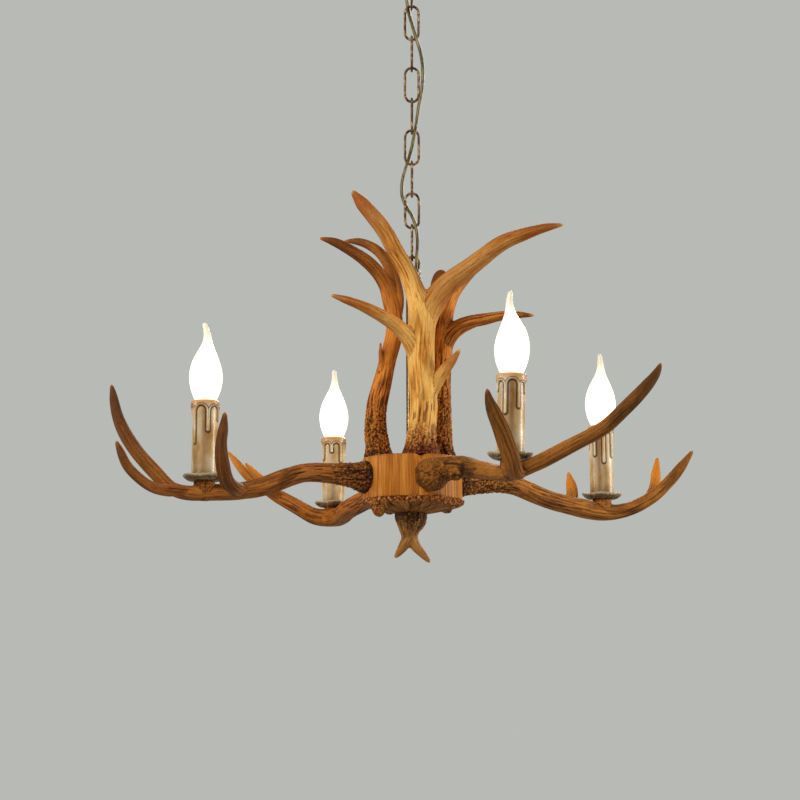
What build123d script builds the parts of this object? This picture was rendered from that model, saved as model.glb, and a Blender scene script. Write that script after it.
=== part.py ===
from build123d import *
import math
import os

# Antler chandelier with four candle lamps, hung on a chain from a ceiling canopy.
# Millimetres. The origin is on the ceiling, above the chain, and +Z is up, so the object hangs below zero.
# The photographed view looks along +Y, with +X to the right.
# Antlers, bulbs, links and small turned parts are faceted castings: rings of points joined by flat facets.

os.makedirs("parts", exist_ok=True)

# Ceiling canopy and its bracket
canopy_radius = 55
canopy_height = 30
canopy_wall = 1.2
canopy_rim_band = 6
canopy_floor_radius = 16
canopy_steps = 4
canopy_sides = 32
crossbar_length = 88
crossbar_width = 18
crossbar_thickness = 2.5
crossbar_corner = 6
ceiling_screw_spacing = 70
ceiling_screw_hole_radius = 2.25
nipple_radius = 5
nipple_bore_radius = 3.2
locknut_radius = 8.5
locknut_height = 4
thread_clearance = 0.05
cord_grip_wall = 4.6
cord_grip_tip_wall = 2
cord_grip_height = 12
cord_grip_taper = 5
turned_sides = 16

# Screw loops at the canopy and on top of the rod
collar_radius = 9.5
collar_height = 11
collar_lip = 3.5
collar_waist = 1.4
seat_clearance = 0.05
loop_wire_radius = 1.75
canopy_loop_radius = 9.75
top_loop_radius = 7.75
loop_sink = 1.6
loop_facets = 16
loop_wire_sides = 8

# Chain
link_count = 9
link_length = 42
link_width = 18
link_wire_radius = 1.5
link_gap = 0.3
wire_sides = 6
bend_facets = 6

# Supply cord, woven through the chain
cord_radius = 1.9
cord_sides = 8
cord_hole_clearance = 0.3
cord_run_share = 0.45
cord_entry = 0.8

# Rod from the top loop to the hub
bell_height = 24
bell_radius = 9.8
bell_mouth_radius = 7.6
bell_beads = 3
bell_bead_height = 5
bell_groove = 1.3
rod_radius = 6.5
rod_bore_radius = 4.4
rod_below_hub_top = 71
rod_nut_radius = 11
rod_nut_height = 7

# Candles
candle_plane_below_loop = 243.6
candle_circle_radius = 230
candle_azimuths = [203.4, 113.4, 293.4, 23.4]
candle_leans = [0, 0, 1.5, 0]
# How far each seat is above the common candle plane
candle_rises = [-2, 4, 4, 0]
sleeve_height = 72
sleeve_radius = 14
sleeve_wall = 1.3
sleeve_rim_radius = 15.4
sleeve_rim_height = 9
sleeve_rim_lip = 1.5
sleeve_sides = 20
dish_radius = 23.5
dish_depth = 6.5
dish_wall = 1.2
dish_floor_radius = 15.5
dish_crimp = 1.3
dish_facets = 20
dish_pocket_gap = 0.6
seat_boss_radius = 10.5
seat_boss_foot_radius = 6
seat_boss_depth = 13
seat_below_plane = 10
holder_radius = 12.2
holder_below_rim = 4
holder_floor = 12
holder_bevel = 1.2
holder_bevel_height = 6
lamp_pin_radius = 4.9
lamp_pin_bore_radius = 3.2
lamp_pin_depth = 8

# Bulbs
bulb_radius = 17
bulb_height = 82
bulb_neck_radius = 8.6
bulb_sides = 14
cap_radius = 6.9
cap_length = 25
cap_contact_radius = 2.4
cap_contact_height = 3
cap_taper_height = 3
cap_above_holder = 2
cap_gap = 0.5
bent_tip_offsets = [-3.5, 0, -3, 0]
# Share of the height above the sleeve, share of the radius, and share of the tip's bend
bulb_outline = [
    (0.05, 0.62, 0), (0.12, 0.82, 0), (0.21, 0.96, 0), (0.3, 1, 0), (0.4, 0.95, 0),
    (0.51, 0.79, 0), (0.62, 0.57, 0), (0.73, 0.37, 0.06), (0.83, 0.24, 0.22), (0.92, 0.17, 0.6),
    (0.98, 0.12, 0.95), (1, 0.05, 1),
]

# Hub and the bark-edged slab under it
hub_radius = 53
hub_height = 44
hub_below_candle_plane = 21.5
hub_wall = 9
hub_roof = 8
hub_sides = 48
slab_rim = 8
slab_depth = 13.5
slab_sides = 40
# The bark edge swells and shrinks: times round the slab, by how much, and from what turn
slab_swells = [(5, 1.5, 1), (11, 1.05, 0), (17, 0.75, 2)]
finial_seat_radius = 17
finial_socket_rise = 1

# Fasteners and the terminal block in the hub
arm_bolt_radius = 3
arm_bolt_reach = 20
arm_bolt_head_radius = 5
arm_bolt_head_height = 4
arm_bolt_rise = 4.5
upright_screw_radius = 2.5
upright_screw_reach = 20
upright_screw_head_radius = 4.6
upright_screw_head_height = 3
bolt_clearance = 0.1
wire_hole_radius = 3.5
terminal_length = 30
terminal_width = 14
terminal_height = 12
terminal_offset = 24
terminal_ways = 3
terminal_pitch = 9
terminal_screw_radius = 2

# Antlers
antler_sides = 8
facet_length = 15
saddle_clearance = 0.1
screw_tip_clearance = 1

# Each arm leaves the hub as one beam that passes under its candle and rises as the main tine.
# Beam: share of the way from hub wall to candle, sideways, above candle plane, radius.
# Tines: beyond the candle, sideways, above candle plane, radius.
arm_beams = [
    [(-0.05, -3, 1.5, 17), (0, -3, 1.5, 17.5), (0.03, -2, 1.5, 16), (0.08, 0, 2, 13.2),
     (0.21, 0, 3, 10.8), (0.39, 0, 2, 9.8), (0.55, 0, -7.5, 10.2), (0.66, 0, -15, 9.7),
     (0.79, 0, -20, 8.9), (0.96, 0, -23, 8.3)],
    [(-0.05, 0, -1, 17.5), (0, 0, -1, 18), (0.04, 0.5, -1.5, 16), (0.1, 2, -3, 13.5),
     (0.35, 6, -9, 11.3), (0.46, 6, -11, 11.3), (0.72, 3.5, -15.5, 11.2), (0.95, 0.5, -18.5, 10.6)],
    [(-0.05, 0, 2, 15), (0, 0, 2, 15.5), (0.04, 4, 3.5, 14), (0.09, 9, 5, 12.2),
     (0.17, 14, 5.5, 11.6), (0.39, 15.5, -1, 9.8), (0.67, 11, -10, 8.3), (0.97, 3.5, -17, 8)],
    [(-0.05, 0, 0, 15), (0, 0, 0, 15.5), (0.06, 0, 0, 13.5), (0.12, 0, 0.5, 11.8),
     (0.24, 0, 2, 10.8), (0.36, 0, 1.5, 10.8), (0.49, 0, -5.5, 10.4), (0.61, 0, -12.5, 10),
     (0.73, 0, -17, 10.2), (0.86, 0, -21, 10.4), (0.99, 0, -24, 9.8)],
]
arm_tines = [
    [
        [(33, -3, -20, 7.2), (47, -6, -7, 7.5), (61, -10, 8.5, 7.5), (74, -15, 27, 7.2),
         (82, -19, 43, 6.3), (86.5, -23, 58, 4.8), (89, -26, 73, 3.1), (91, -28, 86, 1.2)],
        [(8, 0, -23, 4.5), (35, 4, -23.5, 6), (55, 10, -22, 5.6), (73, 14, -12.5, 5.3),
         (85, 16, -1, 4.8), (91, 16, 11, 3.7), (96, 15, 22.5, 1.2)],
        [(-42, 0, -20, 6), (-34, 9, -19.5, 6.8), (-24, 20, -18.5, 7), (-13, 31, -12, 7.5),
         (-8.5, 35.5, -1.5, 7.3), (-5.5, 38, 12, 6.6), (-5, 39, 24, 5.8), (-6.5, 39.5, 36, 4.7),
         (-8, 40, 54, 1.3)],
    ],
    [
        [(6, 8, -18, 10.2), (12, 19, -16, 9.7), (18, 29, -10, 9.1), (28, 42, -0.5, 8.8),
         (36, 55.5, 8.5, 8.6), (42, 70.5, 19, 7.6),
         (48, 85, 29, 6.4), (53, 97, 42, 5.2), (56, 105, 52.5, 3.8), (58, 112, 61.5, 1.3)],
        [(34, 50, 5, 6), (30, 68.5, 17, 6.6), (26, 85, 29, 5.2), (22, 96, 38, 3.4),
         (18, 104, 43.5, 1.3)],
    ],
    [
        [(12, 10, -14.5, 7.6), (22, 31, -4, 7.4), (34, 44.5, 4.5, 7.3), (44, 58, 12.5, 6.9),
         (54, 72, 22, 6.9), (62, 86.5, 37, 6.9), (68, 99, 50.5, 6.4), (72, 110.5, 64, 5.7),
         (74, 118.5, 75, 4), (76, 122, 84, 1.3)],
        [(8, 7, -18, 6.5), (20, -5, -19, 8), (30, -14, -9, 9), (34, -21, 3.5, 8.8),
         (36, -26, 13.5, 8.3), (38, -36, 32.5, 6.9), (38, -40.5, 44, 4.2), (38, -42.5, 54, 1.6)],
    ],
    [
        [(19, -3, -23, 8.5), (39, -8, -16.5, 7.6), (59, -14, -4, 7.2), (76, -21, 13, 6.4),
         (86, -27, 27, 4.9), (98, -34, 46, 1.4)],
        [(50, -11, -11, 5.5), (62.5, -5, 1, 6.4), (75, 8, 23, 5), (81, 14, 43.5, 1.4)],
        [(-46, 0, -19, 6), (-35, 7, -10, 7.2), (-28, 20, 8, 5.8), (-27, 28, 23, 1.4)],
    ],
]

# The rounded knob at the foot of an arm: beyond the hub's wall, sideways, above candle plane, radius.
arm_knobs = [
    [],
    [],
    [(-9, -2, 0, 16.2), (3, -2, 0, 17.2), (11, -2, 0, 16.6), (17, -2, 0, 13.5), (21.5, -2, 0, 8)],
    [],
]

# Upright antlers stand on the hub. The first limb of each is its trunk.
# Feet: x and y as shares of the hub's radius. Limbs: x and y from the foot, height above the hub, radius.
upright_feet = [(0.17, -0.53), (-0.68, 0.15), (0.62, 0.23)]
upright_limbs = [
    [
        [(0, 0, -4, 20), (0, 0, 4, 20.5), (0, 0, 12, 16.8), (1, 0, 26, 15), (3, 0, 52, 14.6),
         (0.5, 0, 92, 14.2), (0.5, -1, 124, 14.4), (1, -2, 148, 15), (-2, -2, 165, 12.6),
         (-6.5, -3, 177, 10.9), (-14, -5, 196, 9.5), (-25, -7, 215, 9.3), (-36, -9, 236, 8.9),
         (-48, -10, 253, 7.9), (-63, -10, 271, 5.8), (-73.5, -9, 285, 1.5)],
        [(3, -1, 132, 11), (9, -2, 157, 13.4), (19, -3, 173, 12.7), (34, -6, 188, 11.5),
         (51, -9, 200, 10.1), (68, -12, 213, 9.4), (87, -15, 226, 8.4), (110, -17, 235, 6.8),
         (134, -18, 242, 4.5), (152, -18, 245, 1.4)],
        [(0, -1, 90, 8), (-4, -1, 104, 10), (-11.5, -6, 122, 9.4), (-25, -14, 136, 7.9),
         (-42, -22, 145.5, 6.8), (-60, -29, 153.5, 5.6), (-79, -34, 160, 4.3),
         (-95.5, -36, 165, 1.4)],
        [(3, 0, 53, 7), (11, -1, 68, 7.6), (24, -6, 89.5, 6.9), (33.5, -9, 101, 4.6),
         (41.5, -11, 112.5, 1.4)],
    ],
    [
        [(0, 0, -4, 16.5), (0, 0, 4, 16), (-1, 0, 13, 13.2), (-3, 0, 31, 12.2),
         (-3, 0, 47.5, 11.4), (-1, 1, 64.5, 11.2), (3, 2, 81, 10.5), (7, 3, 98, 9.5),
         (11, 4, 115, 9.4), (15.5, 4, 133, 9.2), (17, 4, 151, 9.3), (15, 4, 167, 9.7),
         (12, 4, 178, 8.8), (8, 3, 191, 8.1), (-1, 0, 205.5, 7.6), (-14.5, -4, 218.5, 7.1),
         (-32, -8, 229.5, 6), (-49.5, -11, 237.5, 4.6), (-64.5, -13, 241, 1.4)],
        [(17, 5, 158, 8), (19.5, 8, 176, 8.2), (18, 11, 192, 7.6), (12.5, 16, 213.5, 6.8),
         (4.5, 21, 229, 6.3), (-7.5, 27, 241, 5.5), (-23.5, 34, 249, 4.2), (-40, 41, 251, 1.4)],
        [(2, 1, 82, 5.5), (3.5, -2, 97, 4.4), (2.5, -4, 110, 3), (2, -6, 128, 1.1)],
    ],
    [
        [(0, 0, -4, 14), (-0.5, 0, 4, 14), (-2, 0, 13, 13), (-3, 0, 34, 12.8), (-3, 0, 55.5, 12.3),
         (-3, 0, 82.5, 11.9), (-2, 0, 104.5, 11.8), (-0.5, 1, 122, 11.4), (0.5, 2, 138, 10.7),
         (1.5, 3, 152, 10.1), (5, 5, 168, 9.1), (12, 8, 186, 8.1), (22, 12, 200, 7),
         (35, 17, 214, 5.4), (48.5, 21, 224, 1.6)],
        [(1, 3, 148, 7.5), (-1.5, 6, 169, 6.9), (-2, 10, 184, 5.9), (1, 15, 199, 4.6),
         (5.5, 19, 213, 1.5)],
        [(-2, 1, 106, 9.5), (0, 1, 121, 10.5), (8, 0, 138, 9.8), (23, -2, 148.5, 8.5),
         (42, -5, 153, 7.3), (61, -8, 156.5, 5.5), (79, -11, 157.5, 4.4), (99, -14, 156, 1.4)],
    ],
]
upright_names = ["upright_antler_front", "upright_antler_left", "upright_antler_right"]

# Forked finial under the slab: x, y, height above the slab's underside, radius
finial_limbs = [
    [(-1, -1, 4, 16.4), (-1.5, -2, -5, 17.4), (-2, -2, -11, 15.8), (-3, -2, -17.5, 11.5),
     (-3.5, -1, -23, 9.2), (-5, -1, -28, 7.4), (-8, 0, -32.5, 5.8), (-12.5, 2, -39, 4.6),
     (-19, 3, -47, 1.6)],
    [(-2.5, -1, -21, 7), (-0.5, -1, -27, 6.8), (2, 0, -32.5, 5.8), (8.5, 2, -40.5, 4.6),
     (14, 3, -46.5, 3.4), (19, 3, -52, 1.5)],
]

# Cord route, by hand: x, y, height above the top loop's centre. Its ends are added at the two collars.
cord_route = [
    (-5.5, 6, 330), (-6.2, 6.2, 310), (-4.2, 5, 290), (0, 0, 273), (4, -5.6, 256),
    (10, -6.2, 237), (12.5, -4, 216), (11, -4, 194), (7, -5.6, 174), (4.6, -5, 154),
    (0, 0.4, 131), (-5.4, 5.6, 113), (-11, 6, 95), (-11.5, 5.8, 78), (-6.5, 4.8, 65),
    (0, -0.6, 54), (4.6, -5.6, 39), (6.2, -6, 23), (5.2, -5.6, 9),
]

# Places worked out from the sizes above
canopy_floor = -canopy_height
canopy_loop_z = canopy_floor - collar_height - canopy_loop_radius - loop_wire_radius + loop_sink
link_core = link_length - 2 * link_wire_radius
hang_step = link_wire_radius + loop_wire_radius + link_gap
link_step = link_core - 2 * link_wire_radius - link_gap
first_link_top = canopy_loop_z - canopy_loop_radius + hang_step
last_link_bottom = first_link_top - (link_count - 1) * link_step - link_core
top_loop_z = last_link_bottom + hang_step - top_loop_radius
top_loop_top = top_loop_z + top_loop_radius
candle_plane = top_loop_top - candle_plane_below_loop
bell_top = top_loop_z - top_loop_radius - loop_wire_radius + loop_sink
bell_bottom = bell_top - bell_height
hub_bottom = candle_plane - hub_below_candle_plane
hub_top = hub_bottom + hub_height
slab_bottom = hub_bottom - slab_depth
# Heights in a candle's own frame, whose zero is the arm's seat for the dish
sleeve_top = seat_below_plane + sleeve_height
holder_top = sleeve_top - holder_below_rim
cap_seat = holder_top - cap_length
cap_top = holder_top + cap_above_holder
# An arm bolt's flat head bears on the hub's hollow wall along its own edges
hollow_radius = (hub_radius - hub_wall) * math.cos(math.pi / hub_sides)
bolt_bearing = math.sqrt(hollow_radius**2 - arm_bolt_head_radius**2)


def circle_points(centre, across, aside, radius, sides):
    """A ring of points round a centre, in the plane of two unit vectors."""
    turn = 2 * math.pi / sides
    return [
        centre + across * (radius * math.cos(k * turn)) + aside * (radius * math.sin(k * turn))
        for k in range(sides)
    ]


def polygon_face(points):
    return Face(Wire.make_polygon(points, close=True))


def faceted(rings, closed=False, split=False):
    """A solid whose skin joins each ring of points to the next. A ring of one point is an apex."""
    faces = []
    pairs = list(zip(rings, rings[1:]))
    if closed:
        pairs.append((rings[-1], rings[0]))
    for low, high in pairs:
        sides = max(len(low), len(high))
        for k in range(sides):
            after = (k + 1) % sides
            if len(low) == 1:
                faces.append(polygon_face([low[0], high[after], high[k]]))
            elif len(high) == 1:
                faces.append(polygon_face([low[k], low[after], high[0]]))
            elif split:
                faces.append(polygon_face([low[k], low[after], high[after]]))
                faces.append(polygon_face([low[k], high[after], high[k]]))
            else:
                faces.append(polygon_face([low[k], low[after], high[after], high[k]]))
    if not closed:
        faces += [polygon_face(end) for end in (rings[0], rings[-1]) if len(end) > 1]
    solid = Solid(Shell(faces))
    return Part(solid.wrapped)


def turned(profile, sides, closed=False):
    """A turned form: radius and height of each edge of the profile, faceted round the Z axis."""
    rings = []
    for radius, height in profile:
        centre = Vector(0, 0, height)
        if radius == 0:
            rings.append([centre])
        else:
            rings.append(circle_points(centre, Vector(1, 0, 0), Vector(0, 1, 0), radius, sides))
    return faceted(rings, closed)


def limb(stations):
    """An antler limb: a smooth spine through the stations, its radius running evenly between them."""
    points = [Vector(x, y, z) for x, y, z, radius in stations]
    spine = Spline(*points)
    reach = [0]
    for start, end in zip(points, points[1:]):
        reach.append(reach[-1] + (end - start).length)
    rings = []
    across = Vector(0.3, 1, 0.1)
    for i in range(len(stations) - 1):
        steps = max(1, round((reach[i + 1] - reach[i]) / facet_length))
        last = i == len(stations) - 2
        for step in range(steps + last):
            share = step / steps
            place = (reach[i] + share * (reach[i + 1] - reach[i])) / reach[-1]
            radius = stations[i][3] + share * (stations[i + 1][3] - stations[i][3])
            along = spine % place
            across = (across - along * across.dot(along)).normalized()
            ring = circle_points(spine @ place, across, along.cross(across), radius, antler_sides)
            rings.append(ring)
    return faceted(rings, split=True)


def antler(limbs):
    body = limb(limbs[0])
    for tine in limbs[1:]:
        body += limb(tine)
    return body


def bent_wire(path, normal, wire_radius, sides):
    """A closed loop of wire: the path gives each station's centre and its outward direction."""
    rings = [circle_points(centre, outward, normal, wire_radius, sides) for centre, outward in path]
    return faceted(rings, closed=True)


def eye(centre_height, radius):
    """A round eye of wire in the XZ plane."""
    path = []
    for k in range(loop_facets):
        angle = 2 * math.pi * k / loop_facets
        outward = Vector(math.cos(angle), 0, math.sin(angle))
        path.append((Vector(0, 0, centre_height) + outward * radius, outward))
    return bent_wire(path, Vector(0, 1, 0), loop_wire_radius, loop_wire_sides)


def chain_link(top_height, turned_edge_on):
    """One long link, hanging with its upper wire's centre at top_height."""
    bend = link_width / 2 - link_wire_radius
    path = []
    for side, height in ((1, top_height - bend), (-1, top_height - link_core + bend)):
        for k in range(bend_facets + 1):
            angle = math.pi * k / bend_facets
            outward = Vector(side * math.cos(angle), 0, side * math.sin(angle))
            path.append((Vector(0, 0, height) + outward * bend, outward))
    link = bent_wire(path, Vector(0, 1, 0), link_wire_radius, wire_sides)
    return Rot(0, 0, 90) * link if turned_edge_on else link


def cord_hole(x, y, low, high):
    """The hole that a collar has for the cord."""
    radius = cord_radius + cord_hole_clearance
    return Pos(x, y, (low + high) / 2) * Cylinder(radius, high - low)


def save(shape, node):
    export_step(shape, "parts/" + node + ".step")


def canopy_rows(wall):
    """The bowl's outline from its rim to its floor, a wall's thickness inside the outer one."""
    rows = [(canopy_radius - wall, 0)]
    for k in range(canopy_steps + 1):
        angle = math.pi / 2 * k / canopy_steps
        radius = canopy_floor_radius + (canopy_radius - wall - canopy_floor_radius) * math.cos(angle)
        height = -canopy_rim_band - (canopy_height - wall - canopy_rim_band) * math.sin(angle)
        rows.append((radius, height))
    return rows


def make_canopy():
    hole = nipple_radius + thread_clearance
    floor = [(hole, canopy_floor), (hole, canopy_floor + canopy_wall)]
    profile = canopy_rows(0) + floor + canopy_rows(canopy_wall)[::-1]
    save(turned(profile, canopy_sides, closed=True), "canopy")


def make_crossbar():
    bar = Box(crossbar_length, crossbar_width, crossbar_thickness)
    bar = Pos(0, 0, -crossbar_thickness / 2) * fillet(bar.edges().filter_by(Axis.Z), crossbar_corner)
    bar -= Cylinder(nipple_radius + thread_clearance, 4 * crossbar_thickness)
    for side in (-1, 1):
        place = Pos(side * ceiling_screw_spacing / 2, 0, 0)
        bar -= place * Cylinder(ceiling_screw_hole_radius, 4 * crossbar_thickness)
    save(bar, "canopy_crossbar")


def hexagon_nut(across_radius, height, bore_radius):
    """A nut round the Z axis, its middle at zero."""
    nut = Pos(0, 0, -height / 2) * extrude(RegularPolygon(across_radius, 6), height)
    return nut - Cylinder(bore_radius, 2 * height)


def make_canopy_fittings():
    """The threaded nipple, its locknut under the bracket and the grip that clamps cord and canopy."""
    nipple_low = canopy_floor - collar_height / 2
    nipple = [
        (nipple_radius, 0), (nipple_radius, nipple_low),
        (nipple_bore_radius, nipple_low), (nipple_bore_radius, 0),
    ]
    save(turned(nipple, turned_sides, closed=True), "canopy_nipple")
    nut = hexagon_nut(locknut_radius, locknut_height, nipple_radius + thread_clearance)
    save(Pos(0, 0, -crossbar_thickness - locknut_height / 2) * nut, "crossbar_locknut")
    bore = nipple_radius + thread_clearance
    low = canopy_floor + canopy_wall
    high = low + cord_grip_height
    grip = [
        (bore + cord_grip_wall, low), (bore + cord_grip_wall, high - cord_grip_taper),
        (bore + cord_grip_tip_wall, high), (bore, high), (bore, low),
    ]
    save(turned(grip, turned_sides, closed=True), "cord_grip")


def make_canopy_loop():
    top = canopy_floor - seat_clearance
    bottom = canopy_floor - collar_height
    waist = collar_radius - collar_waist
    collar = [
        (0, top), (collar_radius, top), (collar_radius, top - collar_lip),
        (waist, top - collar_lip - collar_waist), (collar_radius, bottom + collar_lip),
        (waist, bottom), (0, bottom),
    ]
    loop = turned(collar, turned_sides) + eye(canopy_loop_z, canopy_loop_radius)
    socket = Cylinder(nipple_radius + thread_clearance, collar_height + 4 * seat_clearance)
    loop -= Pos(0, 0, canopy_floor) * socket
    x, y, _ = cord_ends()[0]
    loop -= cord_hole(x, y, bottom - cord_radius, canopy_floor - collar_height / 2 + cord_radius)
    save(loop, "canopy_loop")


def make_chain():
    for k in range(link_count):
        link = chain_link(first_link_top - k * link_step, turned_edge_on=k % 2 == 0)
        save(link, f"chain_link_{k + 1}")


def cord_ends():
    """Where the cord leaves the canopy collar and where it enters the bell."""
    return (-4.2, 4.4, canopy_floor - collar_height + cord_entry), (4.2, -4.6, bell_top - cord_entry)


def make_cord():
    start, end = cord_ends()
    middle = [(x, y, top_loop_z + z) for x, y, z in cord_route]
    points = [Vector(*p) for p in (start, *middle, end)]
    radii = []
    for before, here, after in zip(points, points[1:], points[2:]):
        turn = math.radians((here - before).get_angle(after - here))
        run = min((here - before).length, (after - here).length)
        radii.append(cord_run_share * run / math.tan(turn / 2))
    path = FilletPolyline(*points, radius=radii)
    section = Plane(origin=points[0], z_dir=path % 0) * RegularPolygon(cord_radius, cord_sides)
    cord = sweep(section, path=path)
    print("cord length", round(path.length, 1), "least radius", round(min(radii), 1))
    print("cord radii", [round(radius) for radius in radii])
    print("cord volume over section times length", cord.volume / (section.area * path.length))
    save(cord, "supply_cord")


def make_top_loop():
    """The screw loop on the rod, its bell turned with a few beads."""
    groove = bell_radius - bell_groove
    bell = [(0, bell_top), (groove, bell_top)]
    for k in range(bell_beads):
        bell.append((bell_radius, bell_top - (k + 0.5) * bell_bead_height))
        bell.append((groove, bell_top - (k + 1) * bell_bead_height))
    bell += [(bell_mouth_radius, bell_bottom), (0, bell_bottom)]
    loop = turned(bell, turned_sides) + eye(top_loop_z, top_loop_radius)
    loop -= Pos(0, 0, bell_bottom) * Cylinder(rod_radius + thread_clearance, bell_height)
    x, y, _ = cord_ends()[1]
    loop -= cord_hole(x, y, bell_bottom + cord_radius, bell_top + cord_radius)
    save(loop, "top_loop")


def make_rod():
    top = bell_bottom + bell_height / 2
    low = hub_top - rod_below_hub_top
    rod = Cylinder(rod_radius, top - low) - Cylinder(rod_bore_radius, 2 * (top - low))
    save(Pos(0, 0, (top + low) / 2) * rod, "centre_rod")
    nut = hexagon_nut(rod_nut_radius, rod_nut_height, rod_radius + thread_clearance)
    save(Pos(0, 0, hub_top - hub_roof - rod_nut_height / 2) * nut, "rod_nut")


def hub_side_place(azimuth, rise):
    """A place on the hub's axis at the height of an arm's fixing, turned to point along the arm."""
    return Pos(0, 0, candle_plane + rise) * Rot(0, 0, azimuth) * Rot(0, 90, 0)


def make_hub():
    inner = hub_radius - hub_wall
    roof = hub_top - hub_roof
    shell = [
        (0, hub_top), (hub_radius, hub_top), (hub_radius, hub_bottom),
        (inner, hub_bottom), (inner, roof), (0, roof),
    ]
    hub = turned(shell, hub_sides)
    hub -= Pos(0, 0, hub_top) * Cylinder(rod_radius + bolt_clearance, 4 * hub_roof)
    wall = Pos(0, 0, hub_radius)
    for azimuth in candle_azimuths:
        bolt_hole = Cylinder(arm_bolt_radius + bolt_clearance, 3 * hub_wall)
        hub -= hub_side_place(azimuth, arm_bolt_rise) * wall * bolt_hole
        hub -= hub_side_place(azimuth, -arm_bolt_rise) * wall * Cylinder(wire_hole_radius, 3 * hub_wall)
    screw_hole = Cylinder(upright_screw_radius + bolt_clearance, 4 * hub_roof)
    for number in range(len(upright_feet)):
        hub -= Pos(*upright_foot(number), hub_top) * screw_hole
    save(hub, "hub")


def bark_swell(angle):
    """How far the bark edge stands out at an angle round the slab."""
    return sum(swell * math.sin(times * angle + start) for times, swell, start in slab_swells)


def make_slab():
    """A slice of trunk: a rough bark edge, and underneath a shallow cone down to the finial's seat."""
    rows = [
        (hub_radius - 4, 0, 0), (hub_radius, 1, 0.6), (hub_radius + 1.5, slab_rim * 0.45, 1),
        (hub_radius - 0.5, slab_rim, 1), (hub_radius * 0.62, slab_depth * 0.86, 0.2),
        (finial_seat_radius, slab_depth, 0),
    ]
    rings = []
    for radius, depth, share in rows:
        ring = []
        for k in range(slab_sides):
            angle = 2 * math.pi * k / slab_sides
            reach = radius + share * bark_swell(angle)
            ring.append(Vector(reach * math.cos(angle), reach * math.sin(angle), hub_bottom - depth))
        rings.append(ring)
    slab = faceted(rings, split=True)
    slab -= Pos(0, 0, hub_bottom) * Cylinder(rod_radius + bolt_clearance, 4 * slab_depth)
    save(slab, "base_slab")


def make_finial():
    limbs = [[(x, y, slab_bottom + z, radius) for x, y, z, radius in stations] for stations in finial_limbs]
    finial = antler(limbs)
    finial -= Pos(0, 0, slab_bottom + slab_depth / 2) * Cylinder(hub_radius, slab_depth)
    socket_low = hub_top - rod_below_hub_top - bolt_clearance
    socket_high = slab_bottom + finial_socket_rise
    socket = Cylinder(rod_radius + thread_clearance, socket_high - socket_low)
    finial -= Pos(0, 0, (socket_low + socket_high) / 2) * socket
    save(finial, "finial_fork")


def arm_stations(number):
    """Local stations of one arm: out along X from the axis, sideways along Y."""
    span = candle_circle_radius - hub_radius
    beam = [(hub_radius + share * span, y, candle_plane + z, r) for share, y, z, r in arm_beams[number]]
    tines = [
        [(candle_circle_radius + x, y, candle_plane + z, r) for x, y, z, r in stations]
        for stations in arm_tines[number]
    ]
    knob = [(hub_radius + x, y, candle_plane + z, r) for x, y, z, r in arm_knobs[number]]
    return [beam + tines[0]] + tines[1:] + ([knob] if knob else [])


def candle_place(number):
    """A candle's own frame: on its arm's seat, and leaning as it does."""
    azimuth = math.radians(candle_azimuths[number])
    x = candle_circle_radius * math.cos(azimuth)
    y = candle_circle_radius * math.sin(azimuth)
    seat = candle_plane + candle_rises[number] - seat_below_plane
    return Pos(x, y, seat) * Rot(0, candle_leans[number], 0)


def dish_seat():
    """The boss on an arm that a dish stands on, its top at zero."""
    return turned([
        (seat_boss_foot_radius, -seat_boss_depth), (seat_boss_radius, -seat_boss_depth / 2),
        (seat_boss_radius, 0),
    ], turned_sides)


def dish_pocket():
    """The space that an arm leaves for the dish on its seat."""
    gap = dish_pocket_gap
    return turned([
        (0, 0), (dish_floor_radius, 0), (dish_radius * 0.88 + gap, dish_depth * 0.5 - gap),
        (dish_radius + gap, dish_depth - 2 * gap), (dish_radius + gap, 3 * dish_depth), (0, 3 * dish_depth),
    ], dish_facets)


def make_arms():
    hub_space = Pos(0, 0, candle_plane) * Cylinder(hub_radius + saddle_clearance, 3 * hub_height)
    bolt_hole = Cylinder(arm_bolt_radius + bolt_clearance, 2 * (arm_bolt_reach + screw_tip_clearance))
    pin_hole = Cylinder(lamp_pin_radius + bolt_clearance, 2 * (lamp_pin_depth + screw_tip_clearance))
    for number, azimuth in enumerate(candle_azimuths):
        arm = Rot(0, 0, azimuth) * antler(arm_stations(number))
        place = candle_place(number)
        arm += place * dish_seat()
        arm -= place * dish_pocket()
        arm -= place * pin_hole
        arm -= hub_space
        arm -= hub_side_place(azimuth, arm_bolt_rise) * Pos(0, 0, hub_radius) * bolt_hole
        save(arm, f"arm_antler_{number + 1}")


def upright_foot(number):
    x_share, y_share = upright_feet[number]
    return hub_radius * x_share, hub_radius * y_share


def make_uprights():
    below = Pos(0, 0, hub_top - hub_height / 2) * Cylinder(2 * hub_radius, hub_height)
    hole_reach = upright_screw_reach + screw_tip_clearance
    screw_hole = Cylinder(upright_screw_radius + bolt_clearance, 2 * hole_reach)
    for number, (name, limbs) in enumerate(zip(upright_names, upright_limbs)):
        foot_x, foot_y = upright_foot(number)
        body = antler([
            [(foot_x + x, foot_y + y, hub_top + z, r) for x, y, z, r in stations] for stations in limbs
        ])
        body -= below
        body -= Pos(foot_x, foot_y, hub_top) * screw_hole
        save(body, name)


def headed_bolt(radius, reach, head_radius, head_height, grip):
    """A bolt along +Z: its head's bearing face is at zero and its shank passes the grip by reach."""
    shank = Pos(0, 0, (grip + reach) / 2) * Cylinder(radius, grip + reach)
    return shank + Pos(0, 0, -head_height / 2) * Cylinder(head_radius, head_height)


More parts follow.
